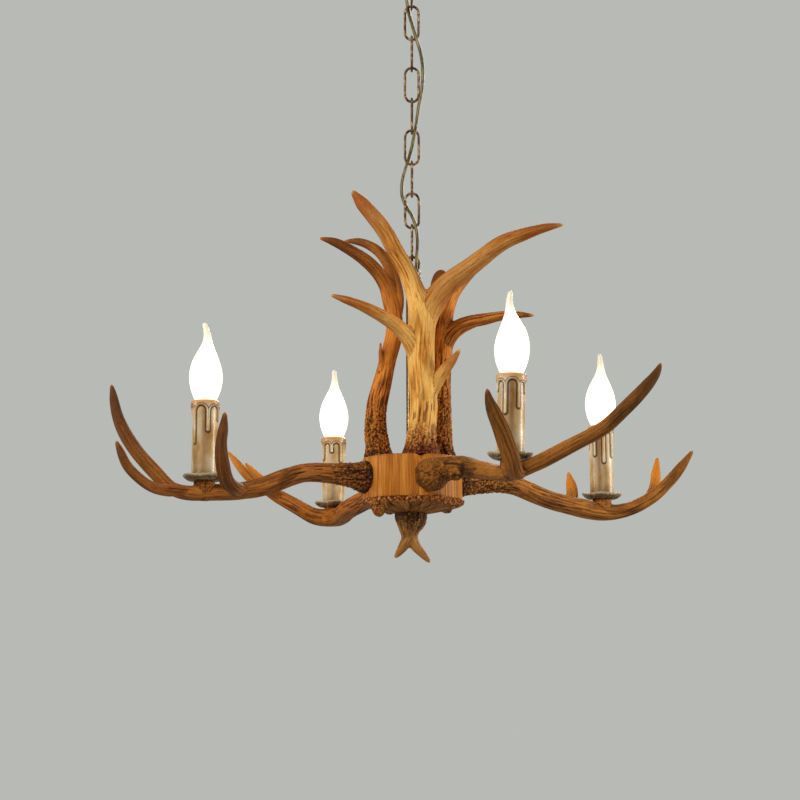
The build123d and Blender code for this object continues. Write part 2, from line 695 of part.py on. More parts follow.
def make_fasteners():
    grip = hub_radius - bolt_bearing
    arm_bolt = headed_bolt(arm_bolt_radius, arm_bolt_reach, arm_bolt_head_radius, arm_bolt_head_height, grip)
    inside = Pos(0, 0, bolt_bearing)
    bolts = [hub_side_place(azimuth, arm_bolt_rise) * inside * arm_bolt for azimuth in candle_azimuths]
    save(Compound(children=bolts), "arm_bolts")
    screw = headed_bolt(
        upright_screw_radius, upright_screw_reach, upright_screw_head_radius,
        upright_screw_head_height, hub_roof,
    )
    places = [Pos(*upright_foot(number), hub_top - hub_roof) for number in range(len(upright_feet))]
    save(Compound(children=[place * screw for place in places]), "upright_screws")


def make_terminal_block():
    """The block where the lamps' wires join, on top of the slab inside the hub."""
    block = Box(terminal_length, terminal_width, terminal_height)
    block = fillet(block.edges().filter_by(Axis.Z), terminal_screw_radius)
    for k in range(terminal_ways):
        x = (k - (terminal_ways - 1) / 2) * terminal_pitch
        block -= Pos(x, 0, terminal_height / 2) * Cylinder(terminal_screw_radius, terminal_height)
    save(Pos(0, terminal_offset, hub_bottom + terminal_height / 2) * block, "terminal_block")


def make_dish():
    """A shallow dish with a crimped rim, standing at zero height."""
    bore = lamp_pin_radius + bolt_clearance
    rows = [
        (bore, 0, 0), (seat_boss_radius, 0, 0), (dish_floor_radius, 0.4, 0.1),
        (dish_radius * 0.88, dish_depth * 0.5, 0.5), (dish_radius, dish_depth - 0.6, 1),
        (dish_radius - 0.6, dish_depth + 0.4, 1),
        (dish_radius * 0.86 - dish_wall, dish_depth * 0.5 + dish_wall, 0.5),
        (dish_floor_radius - 0.4, dish_wall, 0), (bore, dish_wall, 0),
    ]
    rings = []
    for radius, height, share in rows:
        ring = []
        for k in range(dish_facets):
            angle = 2 * math.pi * k / dish_facets
            drawn_in = dish_crimp * share * (k % 2)
            reach = radius - drawn_in
            ring.append(Vector(reach * math.cos(angle), reach * math.sin(angle), height + 0.4 * drawn_in))
        rings.append(ring)
    return faceted(rings, closed=True, split=True)


def make_sleeve():
    """The candle tube, with the thicker lip of wax at its top."""
    inside = sleeve_radius - sleeve_wall
    lip_low = sleeve_top - sleeve_rim_height
    return turned([
        (sleeve_radius, dish_wall), (sleeve_radius, lip_low),
        (sleeve_rim_radius, lip_low + sleeve_rim_height / 2),
        (sleeve_rim_radius, sleeve_top - sleeve_rim_lip),
        (sleeve_radius, sleeve_top), (inside, sleeve_top), (inside, dish_wall),
    ], sleeve_sides, closed=True)


def make_holder():
    bore = cap_radius + cap_gap
    pin_hole = lamp_pin_radius + thread_clearance
    socket_floor = cap_seat - cap_gap
    return turned([
        (holder_radius, dish_wall), (holder_radius, holder_top - holder_bevel_height),
        (holder_radius - holder_bevel, holder_top), (bore, holder_top), (bore, socket_floor),
        (pin_hole, socket_floor), (pin_hole, dish_wall),
    ], turned_sides, closed=True)


def make_lamp_pin():
    """The hollow threaded pin that clamps holder and dish to the arm and lets the wires through."""
    pin_top = dish_wall + holder_floor
    return turned([
        (lamp_pin_radius, -lamp_pin_depth), (lamp_pin_radius, pin_top),
        (lamp_pin_bore_radius, pin_top), (lamp_pin_bore_radius, -lamp_pin_depth),
    ], turned_sides, closed=True)


def make_cap():
    """The bulb's screw cap, with its contact below."""
    contact_top = cap_seat + cap_contact_height
    return turned([
        (0, cap_seat), (cap_contact_radius, cap_seat), (cap_contact_radius, contact_top),
        (cap_radius, contact_top + cap_taper_height), (cap_radius, cap_top), (0, cap_top),
    ], turned_sides)


def make_candles():
    pins = []
    for number in range(len(candle_azimuths)):
        place = candle_place(number)
        save(place * make_dish(), f"drip_dish_{number + 1}")
        save(place * make_sleeve(), f"candle_sleeve_{number + 1}")
        save(place * make_holder(), f"lamp_holder_{number + 1}")
        save(place * make_cap(), f"bulb_cap_{number + 1}")
        save(place * bulb_glass(bent_tip_offsets[number]), f"bulb_glass_{number + 1}")
        pins.append(place * make_lamp_pin())
    save(Compound(children=pins), "lamp_pins")


def bulb_glass(tip_offset):
    """A flame-shaped bulb on its cap, its tip drawn out and bent over by tip_offset."""
    right = Vector(1, 0, 0)
    back = Vector(0, 1, 0)
    rings = [circle_points(Vector(0, 0, cap_top), right, back, bulb_neck_radius, bulb_sides)]
    for height, width, bend in bulb_outline:
        centre = Vector(bend * tip_offset, 0, sleeve_top + height * bulb_height)
        rings.append(circle_points(centre, right, back, width * bulb_radius, bulb_sides))
    return faceted(rings, split=True)


make_canopy()
make_crossbar()
make_canopy_fittings()
make_canopy_loop()
make_chain()
make_cord()
make_top_loop()
make_rod()
make_hub()
make_slab()
make_finial()
make_arms()
make_uprights()
make_fasteners()
make_terminal_block()
make_candles()
print("candle plane", candle_plane, "hub top", hub_top, "bell", bell_top, bell_bottom)
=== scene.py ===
import math

import bpy
import numpy as np
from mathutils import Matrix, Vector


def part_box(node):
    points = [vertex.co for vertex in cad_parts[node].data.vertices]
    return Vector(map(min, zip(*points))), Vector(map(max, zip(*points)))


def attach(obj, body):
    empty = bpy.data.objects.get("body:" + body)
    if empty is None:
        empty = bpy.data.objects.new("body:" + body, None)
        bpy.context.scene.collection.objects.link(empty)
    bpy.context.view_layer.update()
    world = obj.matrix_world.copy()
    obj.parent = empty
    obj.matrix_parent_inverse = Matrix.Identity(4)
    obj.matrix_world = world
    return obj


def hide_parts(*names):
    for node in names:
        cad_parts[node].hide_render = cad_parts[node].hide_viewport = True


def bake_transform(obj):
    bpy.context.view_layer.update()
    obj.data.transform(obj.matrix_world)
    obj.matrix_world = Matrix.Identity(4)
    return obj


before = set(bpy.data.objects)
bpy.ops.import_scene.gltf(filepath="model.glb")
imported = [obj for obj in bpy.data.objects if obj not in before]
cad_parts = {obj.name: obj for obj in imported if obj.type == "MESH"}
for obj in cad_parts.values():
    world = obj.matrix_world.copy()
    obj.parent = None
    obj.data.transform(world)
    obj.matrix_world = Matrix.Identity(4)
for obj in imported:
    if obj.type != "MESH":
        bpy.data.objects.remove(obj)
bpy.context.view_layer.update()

# The frame is in metres: the ceiling is at zero and +Y looks away from the viewer. Forms are worked out
# in millimetres, in the same axes; new_piece, fused and the flow of an antler bring them to metres.
MM = 0.001
UP = np.array([0, 0, 1.0])
RIGHT = np.array([1.0, 0, 0])
AWAY = np.array([0, 1.0, 0])
FAR = 1000.0  # farther off than any part of the object
CANDLES = range(1, 5)
LINKS = range(1, 10)

# The photograph's camera
CAMERA_PLACE = (-0.01307, -1.93395, -0.8574)
CAMERA_TILT = math.radians(9.463)
CAMERA_LENS = 82.55
SENSOR_WIDTH = 36

# Stage and light, in metres and watts
FLOOR_HEIGHT = -2.9
FLOOR_RADIUS = 4.5
FLOOR_FADES_FROM = 1.6
BACKDROP = (184, 186, 182)
SKY = (1, 0.985, 0.96, 1)
AMBIENT = 0.22
LIGHT_TARGET = (0, 0, -0.55)
LIGHTS = [
    ("key", (-0.9, -1.9, 0.7), 0.9, 33, (1, 0.96, 0.9)),
    ("left", (-2.0, -0.3, -0.4), 0.6, 13, (1, 0.97, 0.93)),
    ("right", (2.0, 0.1, -0.3), 0.6, 24, (1, 0.97, 0.93)),
    ("under", (0.3, -1.0, -1.9), 1.0, 3, (1, 0.95, 0.88)),
    ("back", (0.5, 2.0, 0.5), 0.9, 22, (1, 0.97, 0.93)),
]

# Fineness of the fused antlers
FINE_VOXEL = 0.8
VOXEL = FINE_VOXEL
RING_STEP = 1.6
RING_SIDES = 40
TIP_ROUNDING = 2.2


# ---- places read from the frame

def box(node):
    """The low and the high corner of a CAD piece."""
    return np.array(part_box(node)) / MM


hub_low, hub_high = box("hub")
HUB_TOP, HUB_BOTTOM = hub_high[2], hub_low[2]
HUB_RADIUS = (hub_high[0] - hub_low[0]) / 2
SLAB_BOTTOM = box("base_slab")[0][2]
SEAT_BELOW_PLANE = 10
SLEEVE_TOP = SEAT_BELOW_PLANE + 72
CANDLE_PLANE = box("drip_dish_4")[0][2] + SEAT_BELOW_PLANE
CANDLE_LEANS = [0, 0, math.radians(1.5), 0]
CANDLE_RISES = [-2, 4, 4, 0]


def candle_axis(number):
    """The foot of a candle's axis, on its arm's seat, and the axis' direction."""
    lean = CANDLE_LEANS[number - 1]
    upward = np.array([math.sin(lean), 0, math.cos(lean)])
    middle = box(f"lamp_holder_{number}").mean(axis=0)
    seat = CANDLE_PLANE - SEAT_BELOW_PLANE + CANDLE_RISES[number - 1]
    return middle - upward * (middle[2] - seat) / upward[2], upward


# ---- noise

def hashed(cells, seed):
    """A number from 0 to 1 for each whole-number cell."""
    mixed = cells[:, 0] * 73856093 ^ cells[:, 1] * 19349663 ^ cells[:, 2] * 83492791 ^ (seed + 1) * 2654435761
    mixed = ((mixed ^ (mixed >> 13)) * 1274126177) & 0xFFFFFFFF
    return ((mixed ^ (mixed >> 16)) & 0xFFFFFF) / 0xFFFFFF


def noise(points, seed=0):
    """Smooth noise from -1 to 1, about one feature per unit."""
    base = np.floor(points).astype(np.int64)
    part = points - base
    part = part * part * (3 - 2 * part)
    total = np.zeros(len(points))
    for corner in np.ndindex(2, 2, 2):
        weight = np.prod(np.where(corner, part, 1 - part), axis=1)
        total += weight * hashed(base + np.array(corner), seed)
    return 2 * total - 1


def pebbles(points, seed=0):
    """Rounded bumps from 0 to 1, scattered about one per unit."""
    base = np.floor(points).astype(np.int64)
    near = np.full(len(points), 9.0)
    for step in np.ndindex(3, 3, 3):
        cell = base + np.array(step) - 1
        spot = cell + np.stack([hashed(cell, seed + 7 * k) for k in range(3)], axis=1)
        near = np.minimum(near, lengths(points - spot))
    return np.sqrt(np.clip(1 - (near / 0.56) ** 2, 0, 1))


def smoothstep(value, low, high):
    share = np.clip((value - low) / (high - low), 0, 1)
    return share * share * (3 - 2 * share)


def hump(value, centre, width):
    return np.exp(-(((value - centre) / width) ** 2))


# ---- forms

def lengths(rows):
    return np.linalg.norm(rows, axis=1)


def circle(sides):
    return 2 * math.pi * np.arange(sides) / sides


def about_axis(angle, radius, height):
    """Points, or places for noise without a seam, at an angle and distance from the upright axis."""
    angle, radius, height = np.broadcast_arrays(angle, radius, height)
    return np.column_stack([radius * np.cos(angle), radius * np.sin(angle), height])


def polar(points):
    """Each point's angle about the upright axis and its distance from it."""
    return np.arctan2(points[:, 1], points[:, 0]), lengths(points[:, :2])


def push_out(points, outward, reach):
    """Moves the points away from the upright axis."""
    points[:, :2] *= (1 + outward / reach)[:, None]


def lathe(profile, sides):
    """A turned form: radius and height of each edge of the profile, round the upright axis."""
    radius, height = np.repeat(np.array(profile, float), sides, axis=0).T
    return about_axis(np.tile(circle(sides), len(profile)), radius, height)


def grid_faces(rows, columns, caps=False):
    """Quads of a grid of rows of points, each row a ring. The last row joins the first, or both ends get caps."""
    faces = []
    for i in range(rows - 1 if caps else rows):
        low, high = i * columns, (i + 1) % rows * columns
        for k in range(columns):
            after = (k + 1) % columns
            faces.append((low + k, low + after, high + after, high + k))
    if caps:
        faces += [tuple(range(columns))[::-1], tuple(range((rows - 1) * columns, rows * columns))]
    return faces


def joined(*forms):
    """Some forms as one: all their points, and their faces numbered on."""
    faces, start = [], 0
    for points, own in forms:
        faces += [tuple(start + k for k in face) for face in own]
        start += len(points)
    return np.concatenate([points for points, _ in forms]), faces


def new_piece(name, points, faces, material, body=None, slot=None, stands_for=(), **values):
    """A mesh object on a body, with named values at its points for its material."""
    mesh = bpy.data.meshes.new(name)
    mesh.from_pydata((points * MM).tolist(), [], faces if isinstance(faces, list) else faces.tolist())
    mesh.validate()
    for label, numbers in values.items():
        numbers = np.asarray(numbers, dtype=np.float32)
        if numbers.ndim == 1:
            mesh.attributes.new(label, "FLOAT", "POINT").data.foreach_set("value", numbers)
        else:
            mesh.attributes.new(label, "FLOAT_VECTOR", "POINT").data.foreach_set("vector", numbers.ravel())
    mesh.polygons.foreach_set("use_smooth", [True] * len(mesh.polygons))
    mesh.materials.append(material)
    piece = bpy.data.objects.new(name, mesh)
    bpy.context.scene.collection.objects.link(piece)
    if body:
        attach(piece, body)
    if stands_for:
        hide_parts(*stands_for)
    return piece


def ring(centre, radius, across, aside, turn):
    """Points of a circle in the plane of two directions."""
    return centre + radius * (np.outer(np.cos(turn), across) + np.outer(np.sin(turn), aside))


def tube_points(path, radii, sides):
    """Rings of points round a path, and each ring's frame."""
    along = np.gradient(path, axis=0)
    along /= lengths(along)[:, None]
    across = np.array([0.3, 1, 0.1])
    turn = circle(sides)
    rings, frames = [], []
    for centre, direction, radius in zip(path, along, radii):
        across = across - direction * across.dot(direction)
        across /= np.linalg.norm(across)
        aside = np.cross(direction, across)
        rings.append(ring(centre, radius, across, aside, turn))
        frames.append((across, aside, direction))
    return np.concatenate(rings), np.array(frames)


def evaluated(data, voxel=None):
    """Points and face corners of what Blender makes of a curve or a mesh, fused where a voxel size is given."""
    holder = bpy.data.objects.new("holder", data)
    bpy.context.scene.collection.objects.link(holder)
    if voxel:
        remesh = holder.modifiers.new("fuse", "REMESH")
        remesh.mode = "VOXEL"
        remesh.voxel_size = voxel
    graph = bpy.context.evaluated_depsgraph_get()
    result = bpy.data.meshes.new_from_object(holder.evaluated_get(graph))
    points = np.empty(len(result.vertices) * 3)
    result.vertices.foreach_get("co", points)
    corners = np.empty(len(result.loops), dtype=np.int64)
    result.loops.foreach_get("vertex_index", corners)
    bpy.data.objects.remove(holder)
    bpy.data.meshes.remove(result)
    return points.reshape(-1, 3), corners


def fused(points, faces):
    """One closed skin round the joined forms, as points and quads."""
    mesh = bpy.data.meshes.new("to_fuse")
    mesh.from_pydata((points * MM).tolist(), [], faces)
    skin, corners = evaluated(mesh, VOXEL * MM)
    bpy.data.meshes.remove(mesh)
    return skin / MM, corners.reshape(-1, 4)


def point_normals(points, quads):
    face = np.cross(points[quads[:, 2]] - points[quads[:, 0]], points[quads[:, 3]] - points[quads[:, 1]])
    total = np.zeros_like(points)
    for k in range(4):
        np.add.at(total, quads[:, k], face)
    return total / (lengths(total)[:, None] + 1e-6)


def neighbour_mean(values, quads):
    """Each point's neighbours' mean of some values, one row for each point."""
    ends = np.concatenate([quads[:, [k, (k + 1) % 4]] for k in range(4)])
    here, there = np.concatenate([ends, ends[:, ::-1]]).T
    size = len(values)
    total = np.column_stack([np.bincount(here, column[there], size) for column in values.T])
    return total / np.bincount(here, minlength=size)[:, None]


def relaxed(points, quads, rounds, share):
    """Each point moves towards its neighbours' mean; share says how far, point by point."""
    for _ in range(rounds):
        points = points + (neighbour_mean(points, quads) - points) * share
    return points


def nearest(points, targets, radii=0):
    """For each point: which target is nearest, and how far outside that target's radius it lies."""
    number, gap = np.empty(len(points), dtype=np.int64), np.empty(len(points))
    for start in range(0, len(points), 4000):
        part = slice(start, start + 4000)
        apart = np.linalg.norm(points[part, None] - targets, axis=2) - radii
        number[part], gap[part] = apart.argmin(axis=1), apart.min(axis=1)
    return number, gap


def spline(points, step):
    """A natural cubic spline through the rows of points, read at even steps along its chords."""
    points = np.array(points, float)
    chord = np.concatenate([[0], np.cumsum(lengths(np.diff(points[:, :3], axis=0)))])
    gap = np.diff(chord)
    size = len(points)
    system = np.zeros((size, size))
    system[0, 0] = system[-1, -1] = 1
    target = np.zeros_like(points)
    for i in range(1, size - 1):
        system[i, i - 1:i + 2] = gap[i - 1], 2 * (gap[i - 1] + gap[i]), gap[i]
        target[i] = 6 * ((points[i + 1] - points[i]) / gap[i] - (points[i] - points[i - 1]) / gap[i - 1])
    bend = np.linalg.solve(system, target)
    reach = np.linspace(0, chord[-1], max(4, round(chord[-1] / step)))
    i = np.clip(np.searchsorted(chord, reach, side="right") - 1, 0, size - 2)
    after, before, width = (reach - chord[i])[:, None], (chord[i + 1] - reach)[:, None], gap[i][:, None]
    curve = (bend[i] * before**3 + bend[i + 1] * after**3) / (6 * width)
    curve += (points[i] / width - bend[i] * width / 6) * before
    curve += (points[i + 1] / width - bend[i + 1] * width / 6) * after
    curve[:, 3] = np.interp(reach, chord, points[:, 3])
    return curve, reach


# ---- materials

def linear(colour):
    """A colour as light has it, from three numbers to 255 as the eye sees it, or from a plain share of white."""
    if isinstance(colour, (int, float)):
        return (colour, colour, colour, 1)
    if isinstance(colour, bpy.types.NodeSocket) or len(colour) == 4:
        return colour
    channels = [c / 255 for c in colour]
    return (*[c / 12.92 if c <= 0.04045 else ((c + 0.055) / 1.055) ** 2.4 for c in channels], 1)


class Nodes:
    """A node tree and short ways to add to it. The name of a value at the points may stand for a socket."""

    def __init__(self, tree):
        self.tree = tree

    def put(self, socket, value):
        if isinstance(value, str):
            value = self.node("ShaderNodeAttribute", out="Fac", attribute_name=value)
        if isinstance(value, bpy.types.NodeSocket):
            self.tree.links.new(value, socket)
        else:
            socket.default_value = value

    def node(self, kind, inputs=(), out=0, **settings):
        made = self.tree.nodes.new(kind)
        for key, value in settings.items():
            setattr(made, key, value)
        for key, value in dict(inputs).items():
            self.put(made.inputs[key], value)
        return made.outputs[out]

    def maths(self, operation, first, second):
        return self.node("ShaderNodeMath", {0: first, 1: second}, operation=operation)


class Shader(Nodes):
    """A material in the making."""

    def __init__(self, name, roughness=0.5, metallic=0.0, coat=0.0, specular=0.5):
        self.material = bpy.data.materials.new(name)
        self.material.use_nodes = True
        super().__init__(self.material.node_tree)
        self.surface = self.tree.nodes["Principled BSDF"].inputs
        self.surface["Roughness"].default_value = roughness
        self.surface["Metallic"].default_value = metallic
        self.surface["Coat Weight"].default_value = coat
        self.surface["Specular IOR Level"].default_value = specular

    def place(self, upright=1.0, label=None):
        """The point's own place, or a named one, in metres and drawn out along its third direction."""
        if label:
            spot = self.node("ShaderNodeAttribute", out="Vector", attribute_name=label)
        else:
            spot = self.node("ShaderNodeTexCoord", out="Object")
        return self.node("ShaderNodeMapping", {"Vector": spot, "Scale": (1, 1, upright)})

    def noise(self, scale, detail=3.0, roughness=0.6, distortion=0.0, upright=1.0, label=None):
        return self.node("ShaderNodeTexNoise", {
            "Vector": self.place(upright, label), "Scale": scale, "Detail": detail, "Roughness": roughness,
            "Distortion": distortion,
        }, "Fac")

    def ramp(self, share, stops):
        """A colour, or a grey where stops give plain numbers, that follows share."""
        colour = self.node("ShaderNodeValToRGB", {"Fac": share})
        band = colour.node.color_ramp
        while len(band.elements) < len(stops):
            band.elements.new(0.5)
        for element, (position, tone) in zip(band.elements, stops):
            element.position = position
            element.color = linear(tone)
        return colour

    def mix(self, share, first, second):
        return self.node("ShaderNodeMix", {0: share, 6: linear(first), 7: linear(second)}, 2, data_type="RGBA")

    def blended(self, first, share, second):
        """A share of the first and the rest of the second."""
        return self.maths(
            "ADD", self.maths("MULTIPLY", first, share), self.maths("MULTIPLY", second, 1 - share)
        )

    def painted(self, colour, relief, depth, strength, rough=None):
        """The finished material: colour, relief and its depth in metres, and roughness where it varies."""
        self.put(self.surface["Base Color"], colour)
        bump = self.node("ShaderNodeBump", {"Height": relief, "Distance": depth, "Strength": strength})
        self.put(self.surface["Normal"], bump)
        if rough:
            inputs = dict(zip(("Value", "To Min", "To Max"), rough))
            self.put(self.surface["Roughness"], self.node("ShaderNodeMapRange", inputs))
        return self.material


# Painted light of the lit bulbs, laid on the tines nearest them
AMBER = (236, 146, 48)


def antler_material(name, light, middle, dark, tip, pit, top, foot=None):
    """Painted cast antler: soft streaks, grained burrs, its own tips, hollows and ridges from wash, wear and painted
    shade and highlight, painted light and shade on its upper and lower sides.
    """
    shader = Shader(name, roughness=0.62, specular=0.12)
    streak = shader.noise(560, 4.0, 0.6, 0.2, 0.06, "flow")
    broad = shader.noise(36, 4.0, 0.55, 0.5, 0.4, "flow")
    tone = shader.blended(streak, 0.42, broad)
    base = shader.ramp(tone, [(0.36, dark), (0.45, middle), (0.53, light), (0.65, middle)])
    # The antler's own tips over painted light and shade: top tone on the upper sides, painted shade below, amber
    # painted bulb light, ridges and hollows partly painted highlight and shade
    own_tones_and_painted_light = {"above": top, "below": dark, "tip": tip, "amber": AMBER, "ridge": light, "hollow": dark}
    for label, colour in own_tones_and_painted_light.items():
        base = shader.mix(label, base, colour)
    grain = shader.noise(1100, 2.0, 0.6, 0.0, 0.25, "flow")
    base = shader.mix(shader.ramp(grain, [(0.62, 0.0), (0.78, 0.4)]), base, pit)
    if foot:
        base = shader.mix(shader.maths("MULTIPLY", "burr", 0.75), base, foot)
    cells = shader.node("ShaderNodeTexVoronoi", {"Vector": shader.place(), "Scale": 430}, "Distance")
    crumbs = shader.ramp(cells, [(0.3, 0.0), (0.72, 0.85)])
    base = shader.mix(shader.maths("MULTIPLY", crumbs, "burr"), base, pit)
    base = shader.mix("pit", base, pit)
    pearled = shader.maths("MULTIPLY", shader.maths("MULTIPLY", cells, "burr"), 1.6)
    relief = shader.maths("SUBTRACT", streak, pearled)
    return shader.painted(base, relief, 0.0008, 0.9, (streak, 0.48, 0.76))


def wood_material():
    """Honey wood: upright grain on the wall, growth rings on the ends."""
    shader = Shader("hub_grain", roughness=0.55, specular=0.14)
    fine = shader.noise(760, 4.0, 0.6, 0.2, 0.03)
    tone = shader.blended(fine, 0.55, shader.noise(90, 3.0, 0.5, 0.3, 0.08))
    stops = [(0.36, (120, 62, 14)), (0.44, (168, 96, 26)), (0.54, (197, 121, 38)), (0.66, (230, 162, 78))]
    colour = shader.ramp(tone, stops)
    return shader.painted(shader.mix("edge", colour, (120, 70, 34)), fine, 0.0006, 0.8, (fine, 0.42, 0.6))


def bark_material():
    """Rough dark bark at the rim, and a grey-brown underside with lines that run outwards."""
    shader = Shader("bark", roughness=0.75, specular=0.15)
    lump = shader.noise(420, 5.0, 0.65, 0.4)
    stops = [(0.38, (46, 20, 8)), (0.47, (104, 52, 18)), (0.56, (168, 98, 40)), (0.68, (232, 170, 100))]
    bark = shader.ramp(lump, stops)
    rays = shader.noise(1.0, 3.0, 0.6, 0.2, label="rays")
    under = shader.ramp(rays, [(0.36, (56, 28, 7)), (0.48, (114, 68, 22)), (0.62, (172, 112, 48))])
    return shader.painted(shader.mix("rim", under, bark), lump, 0.0008, 0.8)


def sleeve_material():
    """Cream candle tube: painted shadow lines along the wax, painted warm bulb light towards the rim, painted shade
    down one side, and browner towards the foot.
    """
    shader = Shader("candle_wax", roughness=0.4, coat=0.1, specular=0.3)
    cloud = shader.noise(60, 4.0, 0.6, 0.3, 0.5)
    colour = shader.ramp(cloud, [(0.38, (204, 156, 88)), (0.5, (236, 202, 142)), (0.62, (254, 238, 198))])
    # Painted shade in brown down one side and browner towards the foot, then painted warm bulb light in gold towards
    # the rim
    colour = shader.mix("rim", shader.mix("stain", colour, (118, 72, 24)), (198, 138, 58))
    grime = shader.ramp(shader.noise(260, 4.0, 0.7, 0.0, 0.2), [(0.56, 0.0), (0.78, 0.35)])
    # Grime in random patches, then the painted shadow lines along the wax
    colour = shader.mix("line", shader.mix(grime, colour, (172, 124, 72)), (58, 20, 3))
    return shader.painted(colour, cloud, 0.0004, 0.4)


def dish_material():
    """Patinated metal, with a painted highlight in cream on the rim."""
    shader = Shader("dish_patina", roughness=0.42, metallic=0.3)
    patch = shader.noise(260, 5.0, 0.65, 0.6)
    stops = [(0.36, (50, 31, 15)), (0.47, (92, 64, 34)), (0.57, (132, 104, 66)), (0.7, (186, 164, 122))]
    colour = shader.ramp(patch, stops)
    return shader.painted(shader.mix("rim", colour, (206, 188, 152)), patch, 0.0006, 0.7, (patch, 0.32, 0.6))


def bulb_material():
    """Frosted glass, lit from inside: brightest in its belly, fainter and creamier towards the tip."""
    shader = Shader("bulb_lit", roughness=0.3)
    shader.put(shader.surface["Base Color"], linear((236, 228, 204)))
    glow = shader.ramp("height", [
        (0.0, (0.9, 0.62, 0.3, 1)), (0.1, (1, 0.88, 0.66, 1)), (0.5, (1, 0.9, 0.7, 1)),
        (0.72, (0.5, 0.45, 0.34, 1)), (0.86, (0.16, 0.145, 0.105, 1)), (1.0, (0.1, 0.09, 0.065, 1)),
    ])
    shader.put(shader.surface["Emission Color"], glow)
    shader.put(shader.surface["Emission Strength"], 1.6)
    return shader.material


def brass_material(name, dark, middle, light, roughness):
    """Hammered antique brass: dark in the hollows, rubbed bright on the high spots."""
    shader = Shader(name, roughness=roughness, metallic=0.9)
    patch = shader.noise(260, 4.0, 0.6, 0.5)
    tone = shader.blended(patch, 0.6, shader.noise(1100))
    colour = shader.ramp(tone, [(0.38, dark), (0.5, middle), (0.62, light)])
    return shader.painted(colour, tone, 0.0005, 0.5, (patch, roughness - 0.08, roughness + 0.2))


def mottled_material(name, cloud, stops, depth, strength, **surface):
    """One noise, given by its scale, detail and so on, that sets both tone and relief."""
    shader = Shader(name, **surface)
    cloud = shader.noise(*cloud)
    return shader.painted(shader.ramp(cloud, stops), cloud, depth, strength)


# Light, middle and dark tone, tips, pits and upper sides of each antler, and the front upright's foot. The upper
# sides' tone is painted light on the arms and painted shade on the uprights and finial; the dark tone also paints
# shade on the undersides.
ARM_LOOKS = [
    ((200, 124, 54), (122, 68, 26), (56, 28, 9), (60, 32, 12), (38, 14, 5), (182, 114, 52)),
    ((200, 118, 38), (104, 54, 14), (54, 26, 6), (222, 142, 52), (42, 17, 5), (184, 114, 42)),
    ((180, 112, 42), (100, 57, 18), (48, 26, 8), (68, 42, 14), (36, 15, 5), (176, 118, 48)),
    ((206, 132, 54), (128, 75, 27), (58, 30, 10), (132, 82, 34), (38, 16, 5), (190, 126, 56)),
]
UPRIGHT_LOOKS = [
    ((255, 202, 112), (226, 152, 60), (116, 60, 16), (146, 66, 16), (74, 26, 6), (206, 130, 50), (190, 104, 40)),
    ((234, 146, 56), (176, 98, 30), (76, 35, 8), (84, 42, 13), (54, 21, 6), (92, 46, 14)),
    ((240, 154, 62), (188, 106, 34), (80, 37, 9), (104, 54, 16), (56, 23, 6), (100, 50, 15)),
]
FINIAL_LOOK = ((192, 136, 68), (146, 96, 42), (80, 48, 18), (150, 96, 44), (62, 33, 12), (104, 64, 26))


# ---- antlers

# Each arm leaves the hub as one beam that passes under its candle and rises as the main tine.
# Beam: share of the way from hub wall to candle, sideways, above candle plane, radius.
# Tines: beyond the candle, sideways, above candle plane, radius.
ARM_BEAMS = [
    [(-0.05, -3, 1.5, 17), (0, -3, 1.5, 17.5), (0.03, -2, 1.5, 16), (0.08, 0, 2, 13.2), (0.21, 0, 3, 10.8),
     (0.39, 0, 2, 9.8), (0.55, 0, -7.5, 10.2), (0.66, 0, -15, 9.7), (0.79, 0, -20, 8.9), (0.96, 0, -23, 8.3)],
    [(-0.05, 0, -1, 17.5), (0, 0, -1, 18), (0.04, 0.5, -1.5, 16), (0.1, 2, -3, 13.5), (0.35, 6, -9, 11.3),
     (0.46, 6, -11, 11.3), (0.72, 3.5, -15.5, 11.2), (0.95, 0.5, -18.5, 10.6)],
    [(-0.05, 0, 2, 15), (0, 0, 2, 15.5), (0.04, 4, 3.5, 14), (0.09, 9, 5, 12.2), (0.17, 14, 5.5, 11.6),
     (0.39, 15.5, -1, 9.8), (0.67, 11, -10, 8.3), (0.97, 3.5, -17, 8)],
    [(-0.05, 0, 0, 15), (0, 0, 0, 15.5), (0.06, 0, 0, 13.5), (0.12, 0, 0.5, 11.8), (0.24, 0, 2, 10.8),
     (0.36, 0, 1.5, 10.8), (0.49, 0, -5.5, 10.4), (0.61, 0, -12.5, 10), (0.73, 0, -17, 10.2), (0.86, 0, -21, 10.4),
     (0.99, 0, -24, 9.8)],
]
